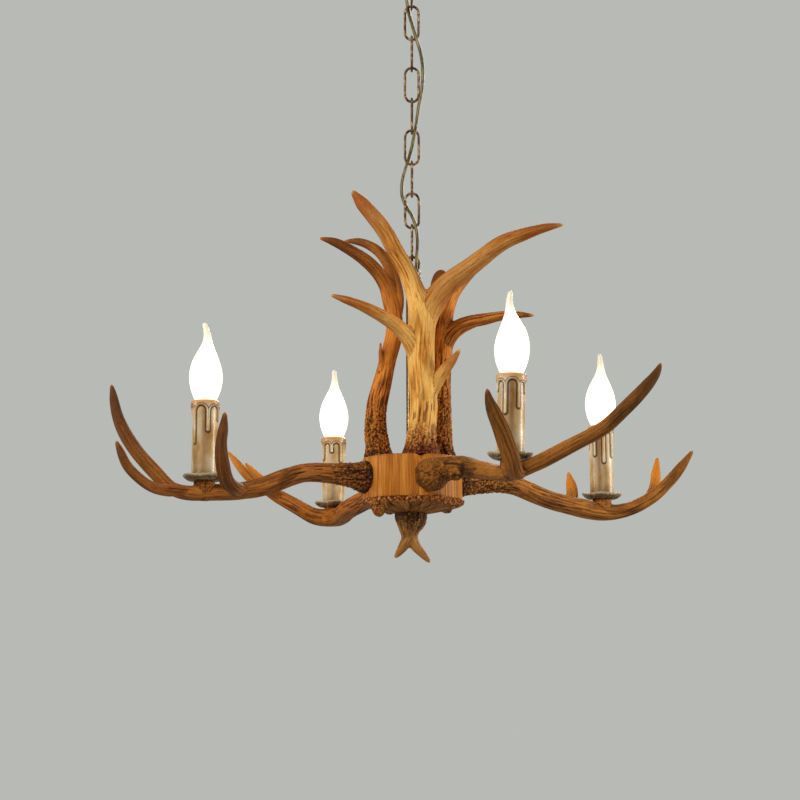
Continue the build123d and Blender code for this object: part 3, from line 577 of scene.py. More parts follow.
ARM_TINES = [
    [
        [(33, -3, -20, 7.2), (47, -6, -7, 7.5), (61, -10, 8.5, 7.5), (74, -15, 27, 7.2), (82, -19, 43, 6.6),
         (86.5, -23, 58, 5.6), (89, -26, 73, 4.4), (91, -28, 86, 1.7)],
        [(8, 0, -23, 4.5), (35, 4, -23.5, 6), (55, 10, -22, 5.6), (73, 14, -12.5, 5.3), (85, 16, -1, 5),
         (91, 16, 11, 4.2), (96, 15, 22.5, 1.6)],
        [(-42, 0, -20, 6), (-34, 9, -19.5, 6.8), (-24, 20, -18.5, 7), (-13, 31, -12, 7.5), (-8.5, 35.5, -1.5, 7.3),
         (-5.5, 38, 12, 6.6), (-5, 39, 24, 5.8), (-6.5, 39.5, 36, 5.4), (-8, 40, 54, 1.9)],
    ],
    [
        [(6, 8, -18, 10.2), (12, 19, -16, 9.7), (18, 29, -10, 9.1), (28, 42, -0.5, 8.8), (36, 55.5, 8.5, 8.6),
         (42, 70.5, 19, 7.6), (48, 85, 29, 6.4), (53, 97, 42, 5.2), (56, 105, 52.5, 3.8), (58, 112, 61.5, 1.3)],
        [(34, 50, 5, 6), (30, 68.5, 17, 6.6), (26, 85, 29, 5.2), (22, 96, 38, 3.4), (18, 104, 43.5, 1.3)],
    ],
    [
        [(12, 10, -14.5, 7.6), (22, 31, -4, 7.4), (34, 44.5, 4.5, 7.3), (44, 58, 12.5, 6.9), (54, 72, 22, 6.9),
         (62, 86.5, 37, 6.9), (68, 99, 50.5, 6.4), (72, 110.5, 64, 5.7), (74, 118.5, 75, 4), (76, 122, 84, 1.3)],
        [(8, 7, -18, 6.5), (20, -5, -19, 8), (30, -14, -9, 9), (34, -21, 3.5, 8.8), (36, -26, 13.5, 8.3),
         (38, -36, 32.5, 6.9), (38, -40.5, 44, 4.2), (38, -42.5, 54, 1.6)],
    ],
    [
        [(19, -3, -23, 8.5), (39, -8, -16.5, 7.6), (59, -14, -4, 7.2), (76, -21, 13, 6.4), (86, -27, 27, 5.7),
         (98, -34, 46, 1.8)],
        [(50, -11, -11, 5.5), (62.5, -5, 1, 6.4), (75, 8, 23, 5.7), (81, 14, 43.5, 1.8)],
        [(-46, 0, -19, 6), (-35, 7, -10, 7.2), (-28, 20, 8, 5.8), (-27, 28, 23, 1.4)],
    ],
]

# Rounded knobs at the foot of an arm: beyond the hub's wall, sideways, above candle plane, radius.
ARM_KNOBS = [
    [],
    [],
    [
        [(-9, -2, 0, 16.2), (3, -2, 0, 17.2), (11, -2, 0, 16.6), (17, -2, 0, 13.5), (21.5, -2, 0, 8)],
        [(29, 13.5, -1, 6.5), (36, 9.3, -2.5, 7.2), (43, 5, -4, 7.2), (48, 1.8, -4.8, 6.2)],
    ],
    [],
]

# Dark stains in the paint of an arm: the same, and how strong each is
ARM_STAINS = [
    [(96, -4, 2, 9, 0.4), (150, -6, -20, 8, 0.4)],
    [(38, -4, -2, 8, 0.4), (110, -2, -6, 9, 0.4)],
    [(48.5, 1.4, -5, 2.9, 0.9), (58, 6, 0, 7, 0.8), (30, 2, 14, 4.5, 0.6), (4, -20, -6, 6, 0.6)],
    [(60, -8, 2, 8, 0.3), (104, -8, -12, 9, 0.3)],
]

# The boss under a dish: height above the seat and radius
SEAT_BOSS = [(-16, 5.5), (-12, 7.5), (-8, 9.2), (-4, 10.2), (0, 10.5), (3, 10)]
BOSS_BURR = 0.35
KNOB_BURR = 0.6

ARM_DETAIL = [
    dict(pearl_reach=62, pearl_height=1.6, groove_depth=0.55, tip_reach=170, browned={2: 0.8}),
    dict(pearl_reach=60, pearl_height=1.5, groove_depth=0.55, tip_reach=70),
    dict(pearl_reach=44, pearl_height=1.2, groove_depth=0.5, tip_reach=130, deep_limb=1),
    dict(pearl_reach=95, pearl_height=1.5, groove_depth=0.65, tip_reach=60, ambered={1: 0.75, 2: 0.8}),
]

# Upright antlers stand on the hub. The first limb of each is its trunk.
# Feet: x and y as shares of the hub's radius. Limbs: x and y from the foot, height above the hub, radius.
UPRIGHT_NAMES = ["upright_antler_front", "upright_antler_left", "upright_antler_right"]
UPRIGHT_FEET = [(0.17, -0.53), (-0.68, 0.15), (0.62, 0.23)]
UPRIGHT_LIMBS = [
    [
        [(0, 0, -4, 20), (0, 0, 4, 20.5), (0, 0, 12, 16.8), (1, 0, 26, 15), (3, 0, 52, 14.6), (0.5, 0, 92, 14.2),
         (0.5, -1, 124, 14.4), (1, -2, 148, 15), (-2, -2, 165, 12.6), (-6.5, -3, 177, 10.9), (-14, -5, 196, 9.5),
         (-25, -7, 215, 9.3), (-36, -9, 236, 8.9), (-48, -10, 253, 8.4), (-63, -10, 271, 7.3), (-73.5, -9, 285, 2.2)],
        [(3, -1, 132, 11), (9, -2, 157, 13.4), (19, -3, 173, 12.7), (34, -6, 188, 11.5), (51, -9, 200, 10.1),
         (68, -12, 213, 9.4), (87, -15, 226, 8.4), (110, -17, 235, 6.8), (134, -18, 242, 4.5), (152, -18, 245, 1.4)],
        [(0, -1, 90, 8), (-4, -1, 104, 10), (-11.5, -6, 122, 9.4), (-25, -14, 136, 7.9), (-42, -22, 145.5, 6.8),
         (-60, -29, 153.5, 5.6), (-79, -34, 160, 4.3), (-95.5, -36, 165, 1.4)],
        [(3, 0, 53, 7), (11, -1, 68, 7.6), (24, -6, 89.5, 6.9), (33.5, -9, 101, 4.6), (41.5, -11, 112.5, 1.4)],
    ],
    [
        [(0, 0, -4, 16.5), (0, 0, 4, 16), (-1, 0, 13, 13.2), (-3, 0, 31, 12.2), (-3, 0, 47.5, 11.4),
         (-1, 1, 64.5, 11.2), (3, 2, 81, 10.5), (7, 3, 98, 9.5), (11, 4, 115, 9.4), (15.5, 4, 133, 9.2),
         (17, 4, 151, 9.3), (15, 4, 167, 9.7), (12, 4, 178, 8.8), (8, 3, 191, 8.1), (-1, 0, 205.5, 7.6),
         (-14.5, -4, 218.5, 7.1), (-32, -8, 229.5, 6), (-49.5, -11, 237.5, 4.6), (-64.5, -13, 241, 1.4)],
        [(17, 5, 158, 8), (19.5, 8, 176, 8.2), (18, 11, 192, 7.6), (12.5, 16, 213.5, 6.8), (4.5, 21, 229, 6.3),
         (-7.5, 27, 241, 5.5), (-23.5, 34, 249, 4.2), (-40, 41, 251, 1.4)],
        [(2, 1, 82, 5.5), (3.5, -2, 97, 4.4), (2.5, -4, 110, 3), (2, -6, 128, 1.1)],
    ],
    [
        [(0, 0, -4, 14), (-0.5, 0, 4, 14), (-2, 0, 13, 13), (-3, 0, 34, 12.8), (-3, 0, 55.5, 12.3),
         (-3, 0, 82.5, 11.9), (-2, 0, 104.5, 11.8), (-0.5, 1, 122, 11.4), (0.5, 2, 138, 10.7), (1.5, 3, 152, 10.1),
         (5, 5, 168, 9.1), (12, 8, 186, 8.1), (22, 12, 200, 7), (35, 17, 214, 5.4), (48.5, 21, 224, 1.6)],
        [(1, 3, 148, 7.5), (-3, 6, 169, 8), (-3.5, 9, 184, 9.4), (-2.5, 12, 198, 9.8), (-1, 14, 207, 8.2),
         (0, 15, 213.5, 3.4)],
        [(-2, 1, 106, 9.5), (0, 1, 121, 10.5), (8, 0, 138, 9.8), (23, -2, 148.5, 8.5), (42, -5, 153, 7.3),
         (61, -8, 156.5, 5.5), (79, -11, 157.5, 4.4), (99, -14, 156, 1.4)],
    ],
]
UPRIGHT_DETAIL = [
    dict(pearl_reach=46, pearl_height=1.3, groove_depth=0.4, tip_reach=120, browned={1: 0.55}),
    dict(pearl_reach=72, pearl_height=1.6, groove_depth=0.45, tip_reach=150, browned={1: 0.6}),
    dict(pearl_reach=110, pearl_height=1.5, groove_depth=0.45, tip_reach=60, deep_limb=2),
]

# Forked finial under the slab: x, y, height above the slab's underside, radius
FINIAL_LIMBS = [
    [(-1, -1, 4, 16.4), (-1.5, -2, -5, 17.4), (-2, -2, -11, 15.8), (-3, -2, -17.5, 11.5), (-3.5, -1, -23, 9.2),
     (-5, -1, -28, 7.4), (-8, 0, -32.5, 5.8), (-12.5, 2, -39, 4.6), (-19, 3, -47, 1.6)],
    [(-2.5, -1, -21, 7), (-0.5, -1, -27, 6.8), (2, 0, -32.5, 5.8), (8.5, 2, -40.5, 4.6), (14, 3, -46.5, 3.4),
     (19, 3, -52, 1.5)],
]
FINIAL_DETAIL = dict(pearl_reach=25, pearl_height=0.6, groove_depth=0.25)


# Relief of the antlers, and the sizes of their large and small pearls
FORK_ROUNDS = 14
SWELL_HEIGHT = 0.35
LUMP_ROUGHNESS = 0.7
FURROW_DEPTH = 1.5
SLOT_DEPTH = 0.7
PEARL_SIZES = (3.7, 2.3)


class Limb:
    """One limb of an antler: its spine, radius, frames and form, and how far along it each spine point is."""

    def __init__(self, stations):
        curve, self.reach = spline(stations, RING_STEP)
        self.path = curve[:, :3]
        even = np.convolve(np.pad(curve[:, 3], 2, mode="edge"), np.ones(5) / 5, mode="valid")
        self.radius = even * np.sqrt(np.clip((self.reach[-1] - self.reach) / TIP_ROUNDING, 0.02, 1))
        points, self.frames = tube_points(self.path, self.radius, RING_SIDES)
        self.form = points, grid_faces(len(self.path), RING_SIDES, caps=True)


def nearest_on_limbs(points, limbs):
    """For each point: its limb, its place on that limb's spine, and how far it lies outside the next limb."""
    index, outside = (np.array(rows) for rows in zip(*[nearest(points, limb.path, limb.radius) for limb in limbs]))
    order = outside.argsort(axis=0)
    rows = np.arange(len(points))
    return order[0], index[order[0], rows], outside[order[1], rows]


def antler_skin(
    stations, seed, pearl_reach, pearl_height, groove_depth, tip_reach=34, deep_limb=-1, lumps=(), browned=(),
    ambered=(),
):
    """The fused and detailed skin of an antler, with the values its material needs.

    Lumps are limbs without a tip, each with how strongly it is burred. Browned limbs have the tip's
    colour along their whole length, and ambered ones glow as the bulbs light them, each with how strongly.
    """
    limbs = [Limb(row) for row in stations]
    points, quads = fused(*joined(*[limb.form for limb in limbs]))
    chosen, index, second = nearest_on_limbs(points, limbs)
    near_fork = 1 - smoothstep(second, 1, 5)
    points = relaxed(points, quads, 4, 0.5)
    points = relaxed(points, quads, round(FORK_ROUNDS * (FINE_VOXEL / VOXEL) ** 2), 0.6 * near_fork[:, None])
    normals = point_normals(points, quads)

    # Where each point lies on its limb
    starts = np.cumsum([0] + [len(limb.reach) for limb in limbs])
    path, frames, reach, radius = (
        np.concatenate([getattr(limb, label) for limb in limbs])[starts[chosen] + index]
        for label in ("path", "frames", "reach", "radius")
    )
    trunk = limbs[0]
    roots = [0] + [trunk.reach[lengths(trunk.path - limb.path[0]).argmin()] for limb in limbs[1:]]
    across, aside, ahead = ((points - path)[:, None] * frames).sum(axis=2).T
    along = np.array(roots)[chosen] + reach + ahead
    around = np.column_stack([across, aside])
    unit = around / (lengths(around)[:, None] + 1e-6)
    length = np.array([limb.reach[-1] for limb in limbs])[chosen]
    shift = np.array([3.7, 9.1, 5.3]) * (seed + chosen[:, None])

    def shares(rows):
        return np.array([dict(rows).get(row, 0) for row in range(len(limbs))])[chosen]

    def flowing(turns, stretch, step):
        return noise(np.column_stack([unit * turns, along / stretch]) + shift, seed + step)

    lumpy = shares(lumps) > 0
    to_tip = np.where(lumpy, FAR, length - reach)

    # Long grooves and ridges that follow the limb, deep furrows in one limb, and slow unevenness
    swell = noise(points / 26 + shift, seed + 5)
    calm = smoothstep(to_tip, 8, 70)
    groove = (1 - np.abs(flowing(2.3, 60, 0))) ** 7 * 0.8 + (1 - np.abs(flowing(5.5, 34, 3))) ** 6 * 0.45
    groove *= np.where(lumpy, 0.15, 1)
    rugged = noise(points / 8 + shift, seed + 9) + 0.5 * noise(points / 4 + shift, seed + 10)
    lift = -groove_depth * groove * (0.2 + 0.8 * calm)
    lift += SWELL_HEIGHT * swell * smoothstep(to_tip, 4, 40) + LUMP_ROUGHNESS * rugged * lumpy
    furrow = (1 - np.abs(flowing(1.25, 90, 8))) ** 5 * smoothstep(reach, 0, 25) * (chosen == deep_limb)
    lift -= FURROW_DEPTH * furrow * smoothstep(to_tip, 4, 30)
    groove = np.clip(groove + furrow, 0, 1)

    # Pearled burrs towards the base, and long slots above them
    base = 1 - smoothstep(along + 9 * swell, 0.45 * pearl_reach, pearl_reach)
    base = np.where(lumpy, shares(lumps) * smoothstep(reach, 0, 0.7 * length), base)
    large, small = (points / size + shift for size in PEARL_SIZES)
    pearls = np.maximum(pebbles(large, seed + 11), 0.7 * pebbles(small, seed + 17))
    collar = 1 - smoothstep(along, 8, 22)
    lift += base * pearl_height * (pearls - 0.45)
    slots = smoothstep(flowing(6.5, 11, 23), 0.18, 0.5) * ~lumpy
    slots *= 1 - smoothstep(along, 0.8 * pearl_reach, 2.3 * pearl_reach)
    lift -= SLOT_DEPTH * slots
    points = points + normals * lift[:, None]

    # What the finished relief does to the paint: hollows darker from a wash and from painted shade, ridges lighter
    # from rubbing and from a painted highlight, and painted light and shade on the upper and lower sides
    normals = point_normals(points, quads)
    curve = ((neighbour_mean(points, quads) - points) * normals).sum(axis=1) / VOXEL
    curve = neighbour_mean(curve[:, None], quads)[:, 0]
    tip = 0.88 * (1 - smoothstep(to_tip / np.minimum(tip_reach, 0.72 * length), 0.08, 1))
    past_fork = smoothstep(reach, 8, 40)
    pit = base * (1 - smoothstep(pearls, 0.0, 0.6 + 0.35 * collar)) * (0.5 + 0.45 * collar)
    return points, quads, {
        "flow": np.column_stack([unit * radius[:, None], along]) * MM + shift * 0.01,
        # Hollows darker and ridges lighter by curvature: partly a dark wash and rubbed wear, partly painted shade and
        # painted highlight
        "hollow": np.clip(0.85 * smoothstep(curve, 0.015, 0.1) + 0.3 * groove * calm + 0.3 * slots, 0, 0.9),
        "ridge": 0.7 * smoothstep(-curve, 0.02, 0.12),
        # Painted light on the arms' upper sides, painted shade on the uprights' and finial's; painted shade on all
        # undersides
        "above": 0.46 * smoothstep(normals[:, 2], 0.15, 0.9),
        "below": 0.42 * smoothstep(-normals[:, 2], 0.0, 0.9),
        "pit": np.clip(pit + 0.4 * slots + 0.3 * collar, 0, 0.92),
        "burr": base * (0.55 + 0.45 * collar),
        "tip": np.maximum(tip, shares(browned) * past_fork),
        "amber": shares(ambered) * past_fork,
    }


def outside_hub(points):
    """Points inside the hub's wall move out to it, so an arm's foot sits on the wall."""
    points[:, :2] *= np.maximum(1, (HUB_RADIUS + 0.15) / lengths(points[:, :2]))[:, None]
    return points


def below_dish(points, number):
    """Points that would stand in the dish's way move down to its seat."""
    foot, upward = candle_axis(number)
    height = (points - foot) @ upward
    reach = lengths(points - foot - np.outer(height, upward))
    room = np.interp(reach, [15.5, 21, 24, 24.5], [-0.1, 2.6, 5, FAR])
    low = (height > room) & (height < 12)
    points[low] -= np.outer(height[low] - room[low], upward)
    return points


def stained(points, spots):
    """How strongly each point lies in one of the stains."""
    total = np.zeros(len(points))
    uneven = 1 + 0.35 * noise(points / 5, 77)
    for *spot, radius, strength in spots:
        gap = lengths(points - spot) * uneven
        total = np.maximum(total, strength * (1 - smoothstep(gap, 0.4 * radius, 1.3 * radius)))
    return total


def make_arms():
    for number, beam, tines, knobs, stains in zip(CANDLES, ARM_BEAMS, ARM_TINES, ARM_KNOBS, ARM_STAINS):
        foot, _ = candle_axis(number)
        candle = math.hypot(foot[0], foot[1])
        out = np.array([foot[0], foot[1], 0]) / candle
        side = np.array([-out[1], out[0], 0])

        def placed(start, stations):
            """Stations beyond a start, sideways and above the candle plane, as places in the frame."""
            return [(*(out * (start + x) + side * y + UP * (CANDLE_PLANE + z)), *rest) for x, y, z, *rest in stations]

        span = candle - HUB_RADIUS
        beam = placed(HUB_RADIUS, [(share * span, y, z, r) for share, y, z, r in beam])
        tines = [placed(candle, tine) for tine in tines]
        boss = placed(candle, [(0, 0, CANDLE_RISES[number - 1] - SEAT_BELOW_PLANE + z, r) for z, r in SEAT_BOSS])
        limbs = [beam + tines[0]] + tines[1:] + [boss] + [placed(HUB_RADIUS, knob) for knob in knobs]
        lumps = {row: KNOB_BURR for row in range(len(tines), len(limbs))} | {len(tines): BOSS_BURR}
        points, quads, values = antler_skin(limbs, 10 * number, lumps=lumps, **ARM_DETAIL[number - 1])
        points = np.clip(outside_hub(below_dish(points, number)), *box(f"arm_antler_{number}"))
        values["pit"] = np.maximum(values["pit"], stained(points, placed(HUB_RADIUS, stains)))
        look = antler_material(f"antler_arm_{number}", *ARM_LOOKS[number - 1])
        new_piece(
            f"arm_{number}", points, quads, look, "fixture", "antler_resin", [f"arm_antler_{number}"], **values
        )


def make_uprights():
    for i, (name, foot, limbs) in enumerate(zip(UPRIGHT_NAMES, UPRIGHT_FEET, UPRIGHT_LIMBS)):
        base = np.array([HUB_RADIUS * foot[0], HUB_RADIUS * foot[1], HUB_TOP, 0])
        placed = [base + np.array(limb) for limb in limbs]
        points, quads, values = antler_skin(placed, 100 + 10 * i, **UPRIGHT_DETAIL[i])
        points[:, 2] = np.maximum(points[:, 2], HUB_TOP + 0.1)
        look = antler_material(f"antler_upright_{i + 1}", *UPRIGHT_LOOKS[i])
        new_piece(name + "_skin", points, quads, look, "fixture", "antler_resin", [name], **values)


def make_finial():
    base = UP * SLAB_BOTTOM
    placed = [[(*(base + row[:3]), row[3]) for row in limb] for limb in FINIAL_LIMBS]
    points, quads, values = antler_skin(placed, 7, **FINIAL_DETAIL)
    points[:, 2] = np.minimum(points[:, 2], SLAB_BOTTOM - 0.1)
    look = antler_material("finial_look", *FINIAL_LOOK)
    new_piece("finial", points, quads, look, "fixture", "antler_resin", ["finial_fork"], **values)


# ---- hub and slab

def make_hub():
    sides, steps, hole, wall, cover = 360, 26, 6.7, 9, 8
    grain_depth, chip_turn, chip_width, chip_drop, chip_bite = 0.14, 0.17 - math.pi / 2, 4.5, 3.2, 1.6
    inner, roof = HUB_RADIUS - wall, HUB_TOP - cover
    profile = [(hole, HUB_TOP), (20, HUB_TOP), (40, HUB_TOP), (HUB_RADIUS - 2.5, HUB_TOP)]
    profile += [(HUB_RADIUS - 0.8, HUB_TOP), (HUB_RADIUS - 0.2, HUB_TOP - 0.3)]
    profile += [(HUB_RADIUS, HUB_TOP - 0.9 - (HUB_TOP - HUB_BOTTOM - 1.2) * k / steps) for k in range(steps + 1)]
    profile += [(HUB_RADIUS - 0.3, HUB_BOTTOM), (inner, HUB_BOTTOM), (inner, roof), (hole, roof)]
    points = lathe(profile, sides)
    angle, reach = polar(points)
    on_wall = smoothstep(reach, HUB_RADIUS - 1.0, HUB_RADIUS - 0.1)
    grain = noise(about_axis(angle, 38, points[:, 2] / 22), 2)
    grain += 0.6 * noise(about_axis(angle, 80, points[:, 2] / 30), 4)
    push_out(points, on_wall * (grain - 1.4) * grain_depth, reach)
    # A chip out of the top edge, towards the viewer
    chip = hump((angle - chip_turn) * HUB_RADIUS, 0, chip_width) * smoothstep(reach, HUB_RADIUS - 7, HUB_RADIUS)
    chip *= smoothstep(points[:, 2], HUB_TOP - 9, HUB_TOP)
    points[:, 2] -= chip_drop * chip
    push_out(points, -chip_bite * chip, reach)
    edge = smoothstep(points[:, 2], HUB_TOP - 1.5, HUB_TOP - 0.3) * on_wall * 0.55
    faces = grid_faces(len(profile), sides)
    new_piece("hub_wood", points, faces, wood_material(), "fixture", "hub_wood", ["hub"], edge=edge)


# Bark lumps that hang from the slab's edge: degrees round it, distance out, width, drop
SLAB_LUMPS = [
    (-138, 49, 8, 13.5), (-127, 46, 5, 4), (-30, 52, 6.5, 5.5), (-48, 52, 5, 2.5), (40, 51, 6, 4), (120, 51, 7, 4),
]


def make_slab():
    sides = 320
    depth, rim, hole, foot = HUB_BOTTOM - SLAB_BOTTOM, 4.6, 6.8, 17
    # Radius, how far below the hub, and how much it is bark
    rows = [(hole, 0, 0), (30, 0, 0), (HUB_RADIUS - 2.5, 0, 0.2)]
    for turn in np.linspace(0, math.pi, 13):
        rows.append((HUB_RADIUS - 0.5 + 1.6 * math.sin(turn), rim * (1 - math.cos(turn)) / 2, 1))
    for share in np.arange(1, 25) / 24:
        radius = HUB_RADIUS + (foot - HUB_RADIUS) * share
        rows.append((radius, rim + (depth - rim) * share**0.7, 1 - smoothstep(share, 0, 0.1)))
    rows.append((hole, depth, 0))
    points = lathe([(radius, HUB_BOTTOM - down) for radius, down, _ in rows], sides)
    share = np.repeat([float(row[2]) for row in rows], sides)
    angle, reach = polar(points)
    swell = 1.5 * np.sin(5 * angle + 1) + 1.05 * np.sin(11 * angle) + 0.75 * np.sin(17 * angle + 2)
    rough = 1.1 * noise(points / 4.2, 21) + 0.9 * (pebbles(points / 3.4, 22) - 0.4)
    push_out(points, share * (swell - 0.9 + rough), reach)
    ragged = share * noise(about_axis(angle, 11, 0), 25)
    near_top = 1 - smoothstep(HUB_BOTTOM - points[:, 2], 0, 3.5)
    points[:, 2] += near_top * share * 1.8 * np.clip(ragged + 0.4, 0, 1) * (reach > HUB_RADIUS)
    points[:, 2] -= (1 - near_top) * share * 1.3 * ragged
    rays = about_axis(angle, 20, reach / 24)
    below = points[:, 2] < HUB_BOTTOM - 1
    points[:, 2] += (1 - share) * smoothstep(reach, 16, 24) * 0.35 * noise(rays, 31) * below
    for degrees, out, width, drop in SLAB_LUMPS:
        spot = about_axis(math.radians(degrees), out, 0)[0, :2]
        near = np.exp(-((lengths(points[:, :2] - spot) / width) ** 3))
        points[:, 2] -= drop * near * smoothstep(HUB_BOTTOM - points[:, 2], 1.5, 4.5)
    faces = grid_faces(len(rows), sides)
    new_piece(
        "slab_bark", points, faces, bark_material(), "fixture", "bark_wood", ["base_slab"], rim=share, rays=rays
    )


# ---- candles

def leaned(local, number):
    """Points about a candle's own axis, upwards from its foot, brought to the frame."""
    foot, upward = candle_axis(number)
    across = np.array([upward[2], 0, -upward[0]])
    return local @ np.array([across, AWAY, upward]) + foot


# Wax drips of each candle: degrees round it, length and width
WAX_DRIPS = [
    [(40, 22, 3.4), (100, 34, 3.2), (165, 18, 3.2), (228, 45, 2.8), (289, 33, 3.8), (347, 21, 3.2)],
    [(14, 24, 3.4), (78, 31, 3.2), (150, 15, 3.2), (214, 27, 3.6), (262, 19, 3.2), (310, 30, 3.4)],
    [(20, 26, 3.2), (85, 17, 3.2), (140, 30, 3.4), (195, 17, 3.2), (243, 40, 3.8), (299, 34, 3.2), (335, 19, 3.0)],
    [(15, 20, 3.2), (70, 30, 3.2), (125, 18, 3.2), (180, 26, 3.2), (232, 35, 3.6), (276, 43, 3.4), (319, 36, 3.2)],
]
WAX_STEP = 0.35
ARCH_BELOW_RIM = 11.5
ARCH_HEIGHT = 6.5


def wax_boundary(drips, girth):
    """The wax's lower edge, unrolled: how far round and how far below the rim."""
    edge = []
    first = drips[0]
    for (start, length, width), (after, _, next_width) in zip(drips, drips[1:] + [(first[0] + 360, 0, first[2])]):
        here, half = start / 360 * girth, width / 2
        edge += [(here - half * math.cos(t), length - half + half * math.sin(t)) for t in np.linspace(0, math.pi, 13)]
        left, right = here + half, after / 360 * girth - next_width / 2
        middle, spread = (left + right) / 2, (right - left) / 2
        rise = min(spread, ARCH_HEIGHT)
        edge += [
            (middle - spread * math.cos(t), ARCH_BELOW_RIM - rise * math.sin(t)) for t in np.linspace(0, math.pi, 17)
        ]
    edge.append((edge[0][0] + girth, edge[0][1]))
    dense = []
    for (a, b), (c, d) in zip(edge, edge[1:]):
        count = max(1, round(math.hypot(c - a, d - b) / WAX_STEP))
        dense += [(a + (c - a) * k / count, b + (d - b) * k / count) for k in range(count)]
    return np.array(dense)


def make_sleeve(number, material):
    sides, rows = 200, 190
    outer, inner, low = 14, 12.7, 1.2
    tube, wax_height, bead_height, unevenness = outer - 0.75, 1.15, 0.4, 0.15
    height = np.repeat(np.linspace(low, SLEEVE_TOP, rows), sides)
    angle = np.tile(circle(sides), rows)
    below = SLEEVE_TOP - height
    girth = 2 * math.pi * outer
    edge = wax_boundary(WAX_DRIPS[number - 1], girth)
    spot = np.column_stack([angle * outer, below])
    distance = np.min([nearest(spot, edge + (shift, 0))[1] for shift in (-girth, 0, girth)], axis=0)
    order = np.argsort(edge[:, 0] % girth)
    limit = np.interp(spot[:, 0], (edge[:, 0] % girth)[order], edge[order, 1], period=girth)
    signed = np.where(below < limit, distance, -distance)
    wax = smoothstep(signed, -0.25, 0.9)
    uneven = noise(about_axis(angle, 2, height / 14) + number, 40)
    radius = tube + wax * wax_height + hump(signed, 1.3, 0.5) * bead_height + uneven * unevenness
    radius += 0.35 * (1 - smoothstep(below, 2, 9))
    radius -= 1 - smoothstep(below, 0, 1.3)
    lip = lathe([(inner + 0.25, SLEEVE_TOP - 0.1), (inner, SLEEVE_TOP - 1), (inner, low)], sides)
    local = np.concatenate([about_axis(angle, radius, height), lip])
    # Painted shadow lines along the wax's edge: one just below it, and one above its bead near the top
    line = np.maximum(1.3 * hump(signed, -0.6, 0.8), 1.1 * hump(signed, 2.2, 0.5) * (below < 20))
    line *= smoothstep(below, 0.5, 2)
    # Painted warm light from the bulb, strongest at the rim; the inner lip gets half of it
    rim = 0.75 * (1 - smoothstep(below, 1, 11)) * (0.55 + 0.45 * wax)
    streaks = noise(about_axis(angle, 3.5, height / 60) + 7 * number, 44)
    # Painted shade down one side, the same side of every candle, broken up by streaks; browner towards the foot as
    # well
    stain = smoothstep(np.cos(angle + math.radians(104)), 0.15, 1.0) * (0.6 + 0.35 * streaks) * (1 - 0.75 * wax)
    stain += 0.3 * (1 - smoothstep(height, 2, 16))
    rest = np.zeros(len(lip))
    new_piece(
        f"candle_wax_{number}", leaned(local, number), grid_faces(rows + 3, sides), material, "fixture",
        "candle_resin", [f"candle_sleeve_{number}"], line=np.clip(np.concatenate([line, rest]), 0, 0.95),
        rim=np.concatenate([rim, rest + 0.5]), stain=np.clip(np.concatenate([stain, rest]), 0, 0.85),
    )


def make_dish(number, material):
    sides, steps = 264, 8
    floor_radius, rim_radius, depth, wall, hole = 15, 22.4, 5.4, 0.8, 5.2
    flare = [
        (floor_radius + (rim_radius - floor_radius) * share**0.85, 0.35 + depth * share**1.25)
        for share in np.arange(1, steps + 1) / steps
    ]
    profile = [(hole, 0.1), (10, 0.1), (floor_radius, 0.35)] + flare
    profile += [(rim_radius - 0.1, depth + 0.8), (rim_radius - 0.6, depth + 1.0)]
    profile += [(radius - wall, height + wall * 1.1) for radius, height in flare[-2::-1]]
    profile += [(14.3, 1.15), (hole, 1.15)]
    local = lathe(profile, sides)
    angle, reach = polar(local)
    share = smoothstep(reach, 14.5, rim_radius - 0.5)
    crimp = np.sin(24 * angle + 1.3 * np.sin(3 * angle + number)) * (0.75 + 0.35 * np.sin(7 * angle + number))
    push_out(local, -share * (0.5 - 0.4 * crimp), reach)
    local[:, 2] += share * (crimp * 0.4 - 0.2 + 0.5 * np.sin(5 * angle + number))
    new_piece(
        f"dish_{number}", np.clip(leaned(local, number), *box(f"drip_dish_{number}")),
        grid_faces(len(profile), sides), material, "fixture", "dish_metal", [f"drip_dish_{number}"],
        # Painted highlight along the rim
        rim=0.8 * smoothstep(reach, rim_radius - 2.4, rim_radius - 0.6),
    )


# Height above the sleeve as a share of the bulb's, and radius as a share of its widest
BULB_HEIGHT = 82
BULB_RADIUS = 16.9
BULB_NECK = 8.4
BULB_OUTLINE = [
    (-0.03, 0.5), (0.03, 0.68), (0.08, 0.78), (0.13, 0.87), (0.21, 0.96), (0.3, 1), (0.4, 0.95), (0.5, 0.82),
    (0.58, 0.66), (0.66, 0.48), (0.74, 0.32), (0.81, 0.24), (0.88, 0.195), (0.94, 0.165), (0.985, 0.12), (1, 0.04),
]
# How far each bulb's neck and tip lean sideways, against the share of the height
BULB_BENDS = [
    [(-0.03, 0), (0.3, 0), (0.6, 0.1), (0.75, 1.0), (0.86, 0.4), (0.95, -1.4), (1, -2.6)],
    [(-0.03, 0), (0.3, 0), (0.6, 0), (0.75, 0.5), (0.86, 0.6), (0.95, 0.1), (1, -0.4)],
    [(-0.03, 0), (0.3, 0), (0.55, 0), (0.7, -1.6), (0.82, -2.9), (0.93, -2.9), (1, -1.9)],
    [(-0.03, 0), (0.3, 0), (0.6, 0.2), (0.75, 0.9), (0.88, 0.8), (0.95, 0.4), (1, 0.2)],
]


def smooth_profile(pairs, width=1):
    """A smooth curve through pairs of height share and width, as rows of height and width."""
    curve, _ = spline([(wide * width, 0, share * BULB_HEIGHT, 0) for share, wide in pairs], 1.2)
    return curve[:, 2], curve[:, 0]


